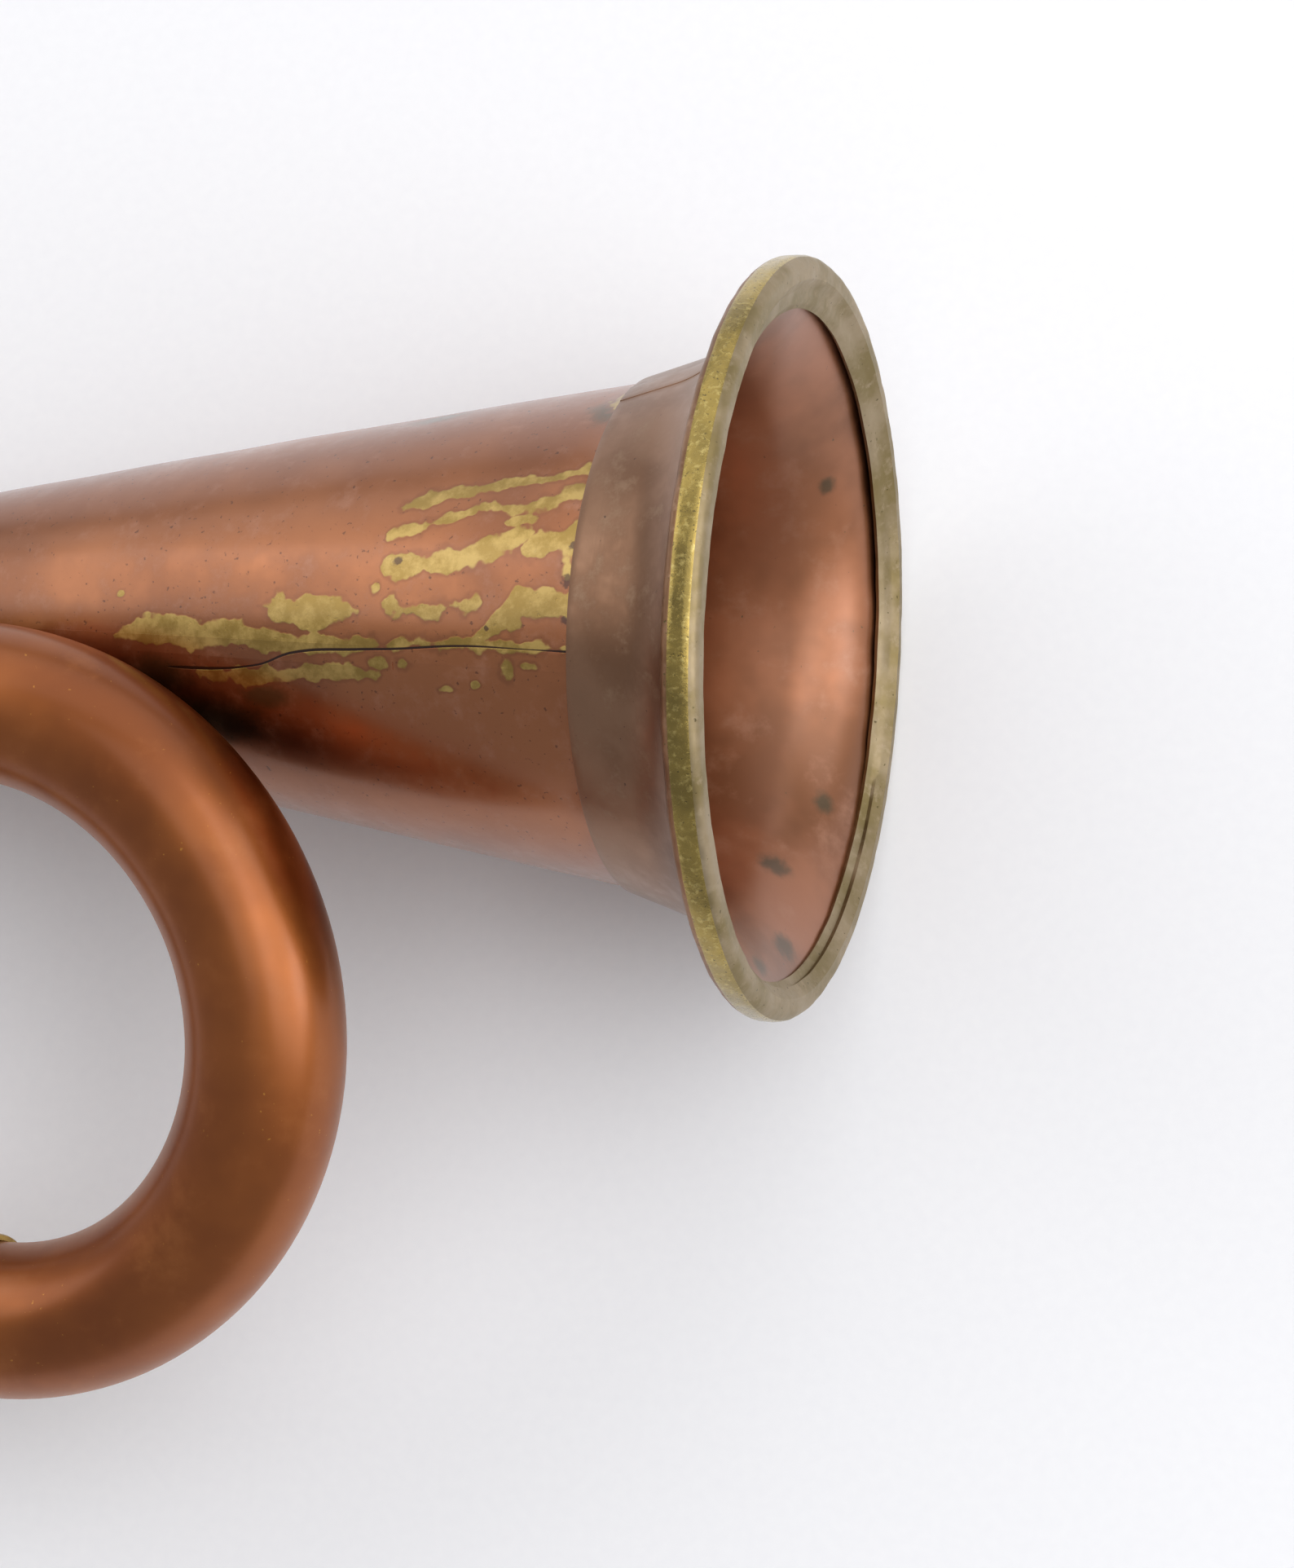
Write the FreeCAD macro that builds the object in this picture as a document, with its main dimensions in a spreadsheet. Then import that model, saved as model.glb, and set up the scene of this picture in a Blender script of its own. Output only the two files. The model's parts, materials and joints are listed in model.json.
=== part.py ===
import FreeCAD, Part
import math
import os

import Sketcher

# A single-coil copper bugle, lying on its side.
#
# It is drawn in its own drawing frame, in millimetres: +X runs from the bell's mouth to the
# mouthpiece along the bell's axis, +Y from the bell tube to the lower tube of the coil, and +Z
# to the side on which the leadpipe crosses the bell. X = 0 is the front of the rim binding.
# At the end every piece is laid down in the row frame: +Z up, +X towards the bell's mouth.

doc = FreeCAD.newDocument("Bugle")

# ---------------------------------------------------------------- driving dimensions

SIZES = {
    # rim and flare of the bell
    "rim_radius": 55.0,
    "rim_depth": 5.2,
    "rim_front_radius": 51.6,
    "bead_round": 2.0,
    "binding_sheet": 0.8,
    "leaf_tip_place": 2.2,
    "leaf_tip_radius": 48.5,
    "rear_leaf_place": 7.3,
    "wire_radius": 1.0,
    "wire_place": 2.9,
    "wire_ring_radius": 52.95,
    "flare_place": 20.6,
    "flare_ring_radius": 57.6,
    "flare_round": 17.7,
    "flare_start_angle": 72.8,
    "flare_end_angle": 19.4,
    "bell_sheet": 0.7,
    "garland_sheet": 0.7,
    "solder_gap": 0.05,
    "garland_rear": 23.8,
    "garland_rear_radius": 38.05,
    "cone_crown": 5500.0,
    # tubes of the coil
    "tail_radius": 12.0,
    "tail_place": 177.0,
    "bell_joint": 185.0,
    "bow_straight": 7.0,
    "tube_sheet": 0.6,
    "coil_radius": 11.6,
    "lower_drop": 107.4,
    "lower_rise": 19.2,
    "lead_drop": 14.4,
    "lead_rise": 33.4,
    "front_joint": 125.1,
    "tube_straight": 9.0,
    "lead_end": 273.0,
    "lead_end_radius": 5.6,
    "lead_end_straight": 10.0,
    # ferrules over the joints
    "ferrule_half": 7.0,
    "ferrule_sheet": 0.8,
    "ferrule_bead": 0.6,
    "ferrule_bead_length": 1.6,
    # receiver and mouthpiece
    "receiver_start": 264.0,
    "receiver_end": 294.0,
    "receiver_radius": 7.2,
    "collar_length": 5.0,
    "collar_radius": 8.4,
    "shank_length": 20.0,
    "shank_tip_radius": 4.3,
    "shank_mouth_radius": 4.8,
    "shank_gap": 0.05,
    "mouthpiece_length": 64.0,
    "cup_radius": 13.2,
    "cup_bore_radius": 8.6,
    "cup_depth": 12.0,
    "cup_hollow": 11.0,
    "throat_radius": 2.1,
    "throat_length": 5.0,
    "backbore_radius": 3.4,
    "stem_radius": 5.2,
    "stem_place": 24.0,
    "stem_swell": 0.4,
    "knob_place": 34.0,
    "knob_front": 35.0,
    "knob_rear": 37.0,
    "knob_rise": 1.6,
    "cup_foot_place": 38.0,
    "cup_foot_rise": 0.6,
    "cup_curve": 12.0,
    "cup_body_place": 53.0,
    "cup_body_drop": 2.6,
    "lip_foot_place": 59.5,
    "lip_foot_drop": 1.4,
    "lip_edge_place": 60.5,
    "lip_round_place": 62.4,
    "lip_round": 1.7,
    "lip_flat_drop": 2.2,
    "lip_flat_rise": 1.2,
    "bite_round": 1.4,
    "bite_depth": 1.2,
    # stays
    "stay_radius": 1.8,
    "pad_radius": 5.5,
    "pad_sheet": 0.8,
    "stay_reach": 12.0,
    "bell_stay_place": 166.0,
    "bow_stay_place": 229.0,
    # sling eyes and rings
    "eye_place": 185.0,
    "eye_height": 3.4,
    "eye_radius": 3.4,
    "eye_hole_radius": 1.7,
    "eye_sheet": 2.2,
    "eye_root": 1.0,
    "eye_seat_gap": 0.02,
    "tool_reach": 20.0,
    "ring_radius": 7.5,
    "ring_wire": 1.0,
    # solder between the front bow and the bell
    "solder_length": 7.0,
    "solder_depth": 3.0,
    "solder_height": 9.0,
    "solder_clearance": 0.02,
    # how the bugle lies
    "lay_pitch": 10.43,
    "lay_roll": 7.83,
}

sheet = doc.addObject("Spreadsheet::Sheet", "Sizes")
for row, (alias, value) in enumerate(SIZES.items(), start=1):
    sheet.set("A%d" % row, alias)
    sheet.set("B%d" % row, str(value))
    sheet.setAlias("B%d" % row, alias)
doc.recompute()

# Lengths that follow from the driving ones, each bound to the sheet by its own expression.
WORKED = {
    "front_bow_radius": "0.5 * sqrt((Sizes.lower_drop - Sizes.lead_drop)^2"
                        " + (Sizes.lead_rise - Sizes.lower_rise)^2)",
    "rear_bow_radius": "0.5 * sqrt(Sizes.lower_drop^2 + Sizes.lower_rise^2)",
    "flare_bell": "Sizes.flare_round + Sizes.garland_sheet + Sizes.solder_gap",
    "flare_inside": "Sizes.flare_round + Sizes.garland_sheet + Sizes.solder_gap"
                    " + Sizes.bell_sheet",
    "ferrule_radius": "Sizes.tail_radius + Sizes.solder_gap + Sizes.ferrule_sheet",
    "lead_slope": "(Sizes.coil_radius - Sizes.lead_end_radius) / (Sizes.lead_end"
                  " - Sizes.lead_end_straight - Sizes.front_joint - Sizes.tube_straight)",
}
worked = doc.addObject("App::VarSet", "Worked")
for name, rule in WORKED.items():
    worked.addProperty("App::PropertyFloat", name)
    worked.setExpression(name, rule)
worked.addProperty("App::PropertyFloat", "reading")
doc.recompute()


def read(rule):
    """Return the number that a rule in the sheet's own words comes to."""
    worked.setExpression("reading", str(rule))
    worked.recompute()
    return worked.reading


# ---------------------------------------------------------------- drawing helpers

def origin_plane(body, role):
    """Return one of a body's own origin planes."""
    for feature in body.Origin.OriginFeatures:
        if feature.Role == role:
            return feature
    raise RuntimeError("no plane " + role)


def add_sketch(body, name, role):
    """Add a sketch on one of the body's own origin planes."""
    sketch = body.newObject("Sketcher::SketchObject", name)
    sketch.AttachmentSupport = [(origin_plane(body, role), "")]
    sketch.MapMode = "FlatFace"
    return sketch


def pin_point(sketch, edge, end, place):
    """Bind one end of an edge to its two rules."""
    for kind, rule, axis in zip(("DistanceX", "DistanceY"), place, (-2, -1)):
        value = read(rule)
        if abs(value) < 1e-9:
            sketch.addConstraint(Sketcher.Constraint("PointOnObject", edge, end, axis))
            continue
        index = sketch.addConstraint(Sketcher.Constraint(kind, -1, 1, edge, end, value))
        sketch.setExpression("Constraints[%d]" % index, rule)


def draw_outline(sketch, outline):
    """Draw a closed outline of straight edges and arcs.

    Each entry is (x rule, y rule) or (x rule, y rule, radius rule), where a radius makes the edge
    from that point to the next an arc: a positive one bulges to the left of the way from point to
    point, and a negative one to its right.
    """
    spots = [FreeCAD.Vector(read(entry[0]), read(entry[1]), 0) for entry in outline]
    following = spots[1:] + spots[:1]
    for entry, start, end in zip(outline, spots, following):
        if len(entry) == 2:
            sketch.addGeometry(Part.LineSegment(start, end))
            continue
        radius = read(entry[2])
        chord = end - start
        left = FreeCAD.Vector(-chord.y, chord.x, 0).normalize()
        rise = abs(radius) - math.sqrt(radius ** 2 - chord.Length ** 2 / 4)
        middle = (start + end) * 0.5 + left * math.copysign(rise, radius)
        sketch.addGeometry(Part.Arc(start, middle, end))
    for index, entry in enumerate(outline):
        start_end, far_end = edge_ends(sketch, index, spots[index])
        pin_point(sketch, index, start_end, entry[:2])
        if len(entry) == 3:
            rule = entry[2] if read(entry[2]) > 0 else "-(%s)" % entry[2]
            fixed = sketch.addConstraint(Sketcher.Constraint("Radius", index, read(rule)))
            sketch.setExpression("Constraints[%d]" % fixed, rule)
        after = (index + 1) % len(outline)
        next_start = edge_ends(sketch, after, spots[after])[0]
        sketch.addConstraint(Sketcher.Constraint("Coincident", index, far_end, after, next_start))


def edge_ends(sketch, index, start):
    """Return which end of an edge is at the start point, and the other one."""
    first = sketch.getPoint(index, 1)
    return (1, 2) if first.distanceToPoint(start) < 1e-6 else (2, 1)


def turned(label, outline, place=None):
    """Make a body of revolution about its own X axis, from an outline of (x, radius) points."""
    body = doc.addObject("PartDesign::Body", "body_" + label)
    body.Label = label
    sketch = add_sketch(body, "outline_" + label, "XY_Plane")
    draw_outline(sketch, outline)
    spin = body.newObject("PartDesign::Revolution", "turn_" + label)
    spin.Profile = sketch
    spin.ReferenceAxis = (sketch, ["H_Axis"])
    spin.Angle = 360.0
    body.Tip = spin
    bind_place(body, place)
    return body


def bind_place(body, place):
    """Bind where a piece's own origin stands in the drawing frame to its rules."""
    for axis, rule in zip("xyz", place or ()):
        if str(rule) != "0":
            body.setExpression("Placement.Base." + axis, rule)


def axes_placement(base, along, across):
    """Return the placement whose X and Y axes point along and across."""
    x_axis = FreeCAD.Vector(along).normalize()
    z_axis = x_axis.cross(FreeCAD.Vector(across)).normalize()
    turn_to = FreeCAD.Rotation(x_axis, z_axis.cross(x_axis), z_axis, "XZY")
    return FreeCAD.Placement(FreeCAD.Vector(base), turn_to)


def primitive(kind, name, **rules):
    """Add a Part primitive and bind its sizes to their rules."""
    piece = doc.addObject("Part::" + kind, name)
    for size, rule in rules.items():
        piece.setExpression(size, rule)
    return piece


def combine(kind, name, first, second):
    """Add the cut, fuse or common of two pieces."""
    piece = doc.addObject("Part::" + kind, name)
    piece.Base = first
    piece.Tool = second
    return piece


# ---------------------------------------------------------------- bell

def on_flare(round_rule, angle_rule):
    """Return the rules of a point on the flare's arc of one radius, at one angle."""
    return ("Sizes.flare_place - (%s) * cos(%s * 1deg)" % (round_rule, angle_rule),
            "Sizes.flare_ring_radius - (%s) * sin(%s * 1deg)" % (round_rule, angle_rule))


def rear_radius(depth_rule):
    """Return the rule of a sheet's radius at the garland's rear edge, at a depth below its outside."""
    return "Sizes.garland_rear_radius - (%s) / sin(Sizes.flare_start_angle * 1deg)" % depth_rule


END, START = "Sizes.flare_end_angle", "Sizes.flare_start_angle"
BELL_DEPTH = "Sizes.garland_sheet + Sizes.solder_gap"
INSIDE_DEPTH = BELL_DEPTH + " + Sizes.bell_sheet"

bell_cone = turned("bell_cone", [
    on_flare("Worked.flare_bell", END) + ("-Worked.flare_bell",),
    on_flare("Worked.flare_bell", START),
    ("Sizes.garland_rear", rear_radius(BELL_DEPTH), "Sizes.cone_crown"),
    ("Sizes.tail_place", "Sizes.tail_radius"),
    ("Sizes.bell_joint", "Sizes.tail_radius"),
    ("Sizes.bell_joint", "Sizes.tail_radius - Sizes.bell_sheet"),
    ("Sizes.tail_place", "Sizes.tail_radius - Sizes.bell_sheet", "-Sizes.cone_crown"),
    ("Sizes.garland_rear", rear_radius(INSIDE_DEPTH)),
    on_flare("Worked.flare_inside", START) + ("Worked.flare_inside",),
    on_flare("Worked.flare_inside", END),
])

bell_garland = turned("bell_garland", [
    on_flare("Sizes.flare_round", END) + ("-Sizes.flare_round",),
    on_flare("Sizes.flare_round", START),
    ("Sizes.garland_rear", "Sizes.garland_rear_radius"),
    ("Sizes.garland_rear", rear_radius("Sizes.garland_sheet")),
    on_flare("Sizes.flare_round + Sizes.garland_sheet", START)
    + ("Sizes.flare_round + Sizes.garland_sheet",),
    on_flare("Sizes.flare_round + Sizes.garland_sheet", END),
])

LEAF_INSIDE = "Sizes.flare_round - Sizes.solder_gap"
LEAF_OUTSIDE = "Sizes.flare_round - Sizes.solder_gap - Sizes.binding_sheet"


def flare_radius_at(round_rule, place_rule):
    """Return the rule of the flare's radius on one arc, at one distance behind the front."""
    return ("Sizes.flare_ring_radius - sqrt((%s)^2 - (Sizes.flare_place - (%s))^2)"
            % (round_rule, place_rule))


REAR_WALL = "Sizes.rim_depth - Sizes.binding_sheet"
rim_binding = turned("rim_binding", [
    ("0", "Sizes.rim_front_radius"),
    ("0", "Sizes.rim_radius - Sizes.bead_round", "Sizes.bead_round"),
    ("Sizes.bead_round", "Sizes.rim_radius"),
    ("Sizes.rim_depth - Sizes.bead_round", "Sizes.rim_radius", "Sizes.bead_round"),
    ("Sizes.rim_depth", "Sizes.rim_radius - Sizes.bead_round"),
    ("Sizes.rim_depth", flare_radius_at(LEAF_OUTSIDE, "Sizes.rim_depth"), "-(" + LEAF_OUTSIDE + ")"),
    ("Sizes.rear_leaf_place", flare_radius_at(LEAF_OUTSIDE, "Sizes.rear_leaf_place")),
    ("Sizes.rear_leaf_place - 0.75 * Sizes.binding_sheet",
     flare_radius_at(LEAF_INSIDE, "Sizes.rear_leaf_place - 0.75 * Sizes.binding_sheet"),
     LEAF_INSIDE),
    (REAR_WALL, flare_radius_at(LEAF_INSIDE, REAR_WALL)),
    (REAR_WALL, "Sizes.rim_radius - Sizes.bead_round",
     "-(Sizes.bead_round - Sizes.binding_sheet)"),
    ("Sizes.rim_depth - Sizes.bead_round", "Sizes.rim_radius - Sizes.binding_sheet"),
    ("Sizes.bead_round", "Sizes.rim_radius - Sizes.binding_sheet",
     "-(Sizes.bead_round - Sizes.binding_sheet)"),
    ("Sizes.binding_sheet", "Sizes.rim_radius - Sizes.bead_round"),
    ("Sizes.binding_sheet", "Sizes.rim_front_radius + 0.4 * Sizes.binding_sheet"),
    ("Sizes.leaf_tip_place + 0.8 * Sizes.binding_sheet",
     "Sizes.leaf_tip_radius + 0.6 * Sizes.binding_sheet"),
    ("Sizes.leaf_tip_place", "Sizes.leaf_tip_radius"),
])

rim_wire = primitive("Torus", "rim_wire", Radius1="Sizes.wire_ring_radius", Radius2="Sizes.wire_radius")
rim_wire.Placement = axes_placement((0, 0, 0), (0, 1, 0), (0, 0, 1))
bind_place(rim_wire, ("Sizes.wire_place", "0", "0"))

# ---------------------------------------------------------------- coil


def draw_half_circle(path, straight_rule, bend_rule):
    """Draw a bow's centre line: a straight from the origin, a half circle and a straight back."""
    straight, bend = read(straight_rule), read(bend_rule)
    quarter = math.pi / 2
    corners = [FreeCAD.Vector(*place, 0)
               for place in ((0, 0), (straight, 0), (straight, 2 * bend), (0, 2 * bend))]
    circle = Part.Circle(FreeCAD.Vector(straight, bend, 0), FreeCAD.Vector(0, 0, 1), bend)
    path.addGeometry(Part.LineSegment(corners[0], corners[1]))
    path.addGeometry(Part.ArcOfCircle(circle, -quarter, quarter))
    path.addGeometry(Part.LineSegment(corners[2], corners[3]))
    for first, end, second, start in ((0, 2, 1, 1), (1, 2, 2, 1), (0, 1, -1, 1)):
        path.addConstraint(Sketcher.Constraint("Coincident", first, end, second, start))
    path.addConstraint(Sketcher.Constraint("Horizontal", 0))
    path.addConstraint(Sketcher.Constraint("Horizontal", 2))
    path.addConstraint(Sketcher.Constraint("PointOnObject", 2, 2, -2))
    for kind, edge, end, rule in (("DistanceX", 0, 2, straight_rule),
                                  ("DistanceX", 1, 3, straight_rule),
                                  ("DistanceX", 1, 2, straight_rule),
                                  ("DistanceY", 1, 3, bend_rule)):
        fixed = path.addConstraint(Sketcher.Constraint(kind, -1, 1, edge, end, read(rule)))
        path.setExpression("Constraints[%d]" % fixed, rule)


def bow(label, radius_rule, bend_rule, base, along, across):
    """Make a hollow half-circle bow with a short straight at each end."""
    body = doc.addObject("PartDesign::Body", "body_" + label)
    body.Label = label
    path = add_sketch(body, "path_" + label, "XY_Plane")
    draw_half_circle(path, "Sizes.bow_straight", bend_rule)
    ring = add_sketch(body, "ring_" + label, "YZ_Plane")
    for rule in (radius_rule, radius_rule + " - Sizes.tube_sheet"):
        edge = ring.addGeometry(Part.Circle(FreeCAD.Vector(), FreeCAD.Vector(0, 0, 1), read(rule)))
        ring.addConstraint(Sketcher.Constraint("Coincident", edge, 3, -1, 1))
        fixed = ring.addConstraint(Sketcher.Constraint("Radius", edge, read(rule)))
        ring.setExpression("Constraints[%d]" % fixed, rule)
    sweep = body.newObject("PartDesign::AdditivePipe", "sweep_" + label)
    sweep.Profile = ring
    sweep.Spine = (path, ["Edge1", "Edge2", "Edge3"])
    body.Tip = sweep
    body.Placement = axes_placement((0, 0, 0), along, across)
    bind_place(body, base)
    return body


BELL_LINE = ("0", "0")
LOWER_LINE = ("Sizes.lower_drop", "Sizes.lower_rise")
LEAD_LINE = ("Sizes.lead_drop", "Sizes.lead_rise")
LOWER_ACROSS = (0, read("Sizes.lower_drop"), read("Sizes.lower_rise"))
FRONT_ACROSS = (0, read("Sizes.lower_drop - Sizes.lead_drop"), read("Sizes.lower_rise - Sizes.lead_rise"))

left_bow = bow("left_bow", "Sizes.tail_radius", "Worked.rear_bow_radius",
               ("Sizes.bell_joint",) + BELL_LINE, (1, 0, 0), LOWER_ACROSS)
right_bow = bow("right_bow", "Sizes.coil_radius", "Worked.front_bow_radius",
                ("Sizes.front_joint",) + LEAD_LINE, (-1, 0, 0), FRONT_ACROSS)


def tube_outline(stations, sheet_rule):
    """Return the outline of a turned tube from its (x, outer radius) rules and its thickness."""
    inside = [(x, "%s - %s" % (radius, sheet_rule)) for x, radius in reversed(stations)]
    return list(stations) + inside


LOWER_END = "Sizes.bell_joint - Sizes.front_joint"
lower_tube = turned("lower_tube", tube_outline([
    ("0", "Sizes.coil_radius"),
    ("Sizes.tube_straight", "Sizes.coil_radius"),
    (LOWER_END + " - Sizes.tube_straight", "Sizes.tail_radius"),
    (LOWER_END, "Sizes.tail_radius"),
], "Sizes.tube_sheet"), ("Sizes.front_joint",) + LOWER_LINE)

LEAD_LENGTH = "Sizes.lead_end - Sizes.front_joint"
leadpipe = turned("leadpipe", tube_outline([
    ("0", "Sizes.coil_radius"),
    ("Sizes.tube_straight", "Sizes.coil_radius"),
    (LEAD_LENGTH + " - Sizes.lead_end_straight", "Sizes.lead_end_radius"),
    (LEAD_LENGTH, "Sizes.lead_end_radius"),
], "Sizes.tube_sheet"), ("Sizes.front_joint",) + LEAD_LINE)


def ferrule(label, tube_rule, place_rule, line):
    """Make a brass sleeve with a bead at each end, over a joint between two tubes."""
    inner = tube_rule + " + Sizes.solder_gap"
    outer = inner + " + Sizes.ferrule_sheet"
    bead = outer + " + Sizes.ferrule_bead"
    length, bead_end = "2 * Sizes.ferrule_half", "Sizes.ferrule_bead_length"
    return turned(label, [
        ("0", inner),
        ("0", outer, "0.9 * Sizes.ferrule_bead_length"),
        (bead_end, outer),
        ("%s - %s" % (length, bead_end), outer, "0.9 * Sizes.ferrule_bead_length"),
        (length, outer),
        (length, inner),
    ], (place_rule + " - Sizes.ferrule_half",) + line)


bell_ferrule = ferrule("bell_ferrule", "Sizes.tail_radius", "Sizes.bell_joint", BELL_LINE)
lower_left_ferrule = ferrule("lower_left_ferrule", "Sizes.tail_radius", "Sizes.bell_joint", LOWER_LINE)
lower_right_ferrule = ferrule("lower_right_ferrule", "Sizes.coil_radius", "Sizes.front_joint",
                              LOWER_LINE)
leadpipe_ferrule = ferrule("leadpipe_ferrule", "Sizes.coil_radius", "Sizes.front_joint", LEAD_LINE)

# ---------------------------------------------------------------- receiver and mouthpiece

RECEIVER_LENGTH = "Sizes.receiver_end - Sizes.receiver_start"
OVERLAP = "Sizes.lead_end - Sizes.receiver_start"
RECEIVER_INNER = "Sizes.lead_end_radius + Sizes.solder_gap"
mouthpiece_receiver = turned("mouthpiece_receiver", [
    ("0", RECEIVER_INNER),
    ("0", "Sizes.receiver_radius - 0.5 * Sizes.ferrule_sheet"),
    ("0.5 * Sizes.ferrule_sheet", "Sizes.receiver_radius"),
    (RECEIVER_LENGTH, "Sizes.receiver_radius"),
    (RECEIVER_LENGTH, "Sizes.shank_mouth_radius + Sizes.shank_gap"),
    (RECEIVER_LENGTH + " - Sizes.shank_length", "Sizes.shank_tip_radius + Sizes.shank_gap"),
    (OVERLAP, "Sizes.shank_tip_radius + Sizes.shank_gap"),
    (OVERLAP, RECEIVER_INNER),
], ("Sizes.receiver_start",) + LEAD_LINE)

COLLAR_INNER = "Sizes.receiver_radius + Sizes.solder_gap"
receiver_collar = turned("receiver_collar", [
    ("0", COLLAR_INNER),
    ("0", "Sizes.collar_radius - 0.5 * Sizes.ferrule_sheet", "Sizes.collar_length"),
    ("Sizes.collar_length", "Sizes.collar_radius - 0.5 * Sizes.ferrule_sheet"),
    ("Sizes.collar_length", COLLAR_INNER),
], ("Sizes.receiver_end - Sizes.collar_length",) + LEAD_LINE)

LENGTH = "Sizes.mouthpiece_length"
mouthpiece = turned("mouthpiece", [
    ("0", "Sizes.backbore_radius"),
    ("0", "Sizes.shank_tip_radius"),
    ("Sizes.shank_length", "Sizes.shank_mouth_radius"),
    ("Sizes.stem_place", "Sizes.stem_radius"),
    ("Sizes.knob_place", "Sizes.stem_radius + Sizes.stem_swell"),
    ("Sizes.knob_front", "Sizes.stem_radius + Sizes.knob_rise"),
    ("Sizes.knob_rear", "Sizes.stem_radius + Sizes.knob_rise"),
    ("Sizes.cup_foot_place", "Sizes.stem_radius + Sizes.cup_foot_rise", "-Sizes.cup_curve"),
    ("Sizes.cup_body_place", "Sizes.cup_radius - Sizes.cup_body_drop"),
    ("Sizes.lip_foot_place", "Sizes.cup_radius - Sizes.lip_foot_drop"),
    ("Sizes.lip_edge_place", "Sizes.cup_radius"),
    ("Sizes.lip_round_place", "Sizes.cup_radius", "Sizes.lip_round"),
    (LENGTH, "Sizes.cup_radius - Sizes.lip_flat_drop"),
    (LENGTH, "Sizes.cup_bore_radius + Sizes.lip_flat_rise", "Sizes.bite_round"),
    (LENGTH + " - Sizes.bite_depth", "Sizes.cup_bore_radius", "Sizes.cup_hollow"),
    (LENGTH + " - Sizes.cup_depth", "Sizes.throat_radius"),
    (LENGTH + " - Sizes.cup_depth - Sizes.throat_length", "Sizes.throat_radius"),
], ("Sizes.receiver_end - Sizes.shank_length",) + LEAD_LINE)

# ---------------------------------------------------------------- stays between the tubes


def lead_radius(place_rule, extra="0"):
    """Return the rule of the leadpipe's outer radius at a place on its taper."""
    return ("Sizes.coil_radius - Worked.lead_slope * (%s - Sizes.front_joint - Sizes.tube_straight) + %s"
            % (place_rule, extra))


def lead_blank(name, extra):
    """Make a plain cone along the leadpipe's taper, a little outside its surface."""
    cone = primitive("Cone", name,
                     Radius1=lead_radius("Sizes.bell_stay_place - Sizes.stay_reach", extra),
                     Radius2=lead_radius("Sizes.bow_stay_place + Sizes.stay_reach", extra),
                     Height="Sizes.bow_stay_place - Sizes.bell_stay_place + 2 * Sizes.stay_reach")
    cone.Placement = axes_placement((0, 0, 0), (0, 1, 0), (0, 0, 1))
    bind_place(cone, ("Sizes.bell_stay_place - Sizes.stay_reach",) + LEAD_LINE)
    return cone


def tail_blank(name, extra):
    """Make a solid of the bell's outside, a little outside its surface."""
    return turned(name, [
        ("Sizes.garland_rear", "0"),
        ("Sizes.garland_rear", rear_radius(BELL_DEPTH) + " + " + extra, "Sizes.cone_crown"),
        ("Sizes.tail_place", "Sizes.tail_radius + " + extra),
        ("Sizes.bell_joint", "Sizes.tail_radius + " + extra),
        ("Sizes.bell_joint", "0"),
    ])


def bow_blank(name, bend_rule, radius_rule, centre, across):
    """Make a plain torus along a bow, a little outside its surface."""
    torus = primitive("Torus", name, Radius1=bend_rule, Radius2=radius_rule)
    torus.Placement = axes_placement((0, 0, 0), (1, 0, 0), across)
    bind_place(torus, centre)
    return torus


def rod(name, start, direction, radius_rule, length_rule):
    """Make a round rod from a point along a direction."""
    piece = primitive("Cylinder", name, Radius=radius_rule, Height=length_rule)
    piece.Placement = FreeCAD.Placement(start, FreeCAD.Rotation(FreeCAD.Vector(0, 0, 1), direction))
    return piece


GAP, PAD = "Sizes.solder_gap", "Sizes.solder_gap + Sizes.pad_sheet"
lead_skin, lead_pad_skin = lead_blank("lead_skin", GAP), lead_blank("lead_pad_skin", PAD)
bell_skin, bell_pad_skin = tail_blank("bell_skin", GAP), tail_blank("bell_pad_skin", PAD)
LEFT_BOW_CENTRE = ("Sizes.bell_joint + Sizes.bow_straight",
                   "0.5 * Sizes.lower_drop", "0.5 * Sizes.lower_rise")
RIGHT_BOW_CENTRE = ("Sizes.front_joint - Sizes.bow_straight",
                    "0.5 * (Sizes.lower_drop + Sizes.lead_drop)",
                    "0.5 * (Sizes.lower_rise + Sizes.lead_rise)")
bow_skin = bow_blank("bow_skin", "Worked.rear_bow_radius", "Sizes.tail_radius + " + GAP,
                     LEFT_BOW_CENTRE, LOWER_ACROSS)
bow_pad_skin = bow_blank("bow_pad_skin", "Worked.rear_bow_radius", "Sizes.tail_radius + " + PAD,
                         LEFT_BOW_CENTRE, LOWER_ACROSS)


def stay(label, start, end, first_skins, second_skins):
    """Make a turned stay between two tubes: a post, and a saddle pad soldered to each tube.

    The skins are each tube's solid at its surface and at its pad's outside.
    """
    direction = (end - start).normalize()
    span = str((end - start).Length)
    pads = []
    for side, base, way, skins in (("lower", start, direction, first_skins),
                                   ("upper", end, direction * -1, second_skins)):
        name = "%s_%s_pad" % (label, side)
        blank = rod(name + "_blank", base, way, "Sizes.pad_radius", span)
        shell = combine("Cut", name + "_shell", skins[1], skins[0])
        pads.append(combine("Common", name, shell, blank))
    post = rod(label + "_rod", start, direction, "Sizes.stay_radius", span)
    for number, skins in enumerate((first_skins, second_skins)):
        post = combine("Cut", "%s_trim_%d" % (label, number), post, skins[1])
    post.Label = label + "_post"
    return [post] + pads


def spot(place_rule, line):
    """Return a point on one of the tubes' centre lines."""
    return FreeCAD.Vector(read(place_rule), read(line[0]), read(line[1]))


bell_stay = stay("bell_stay", spot("Sizes.bell_stay_place", BELL_LINE),
                 spot("Sizes.bell_stay_place", LEAD_LINE),
                 (bell_skin, bell_pad_skin), (lead_skin, lead_pad_skin))

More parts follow.
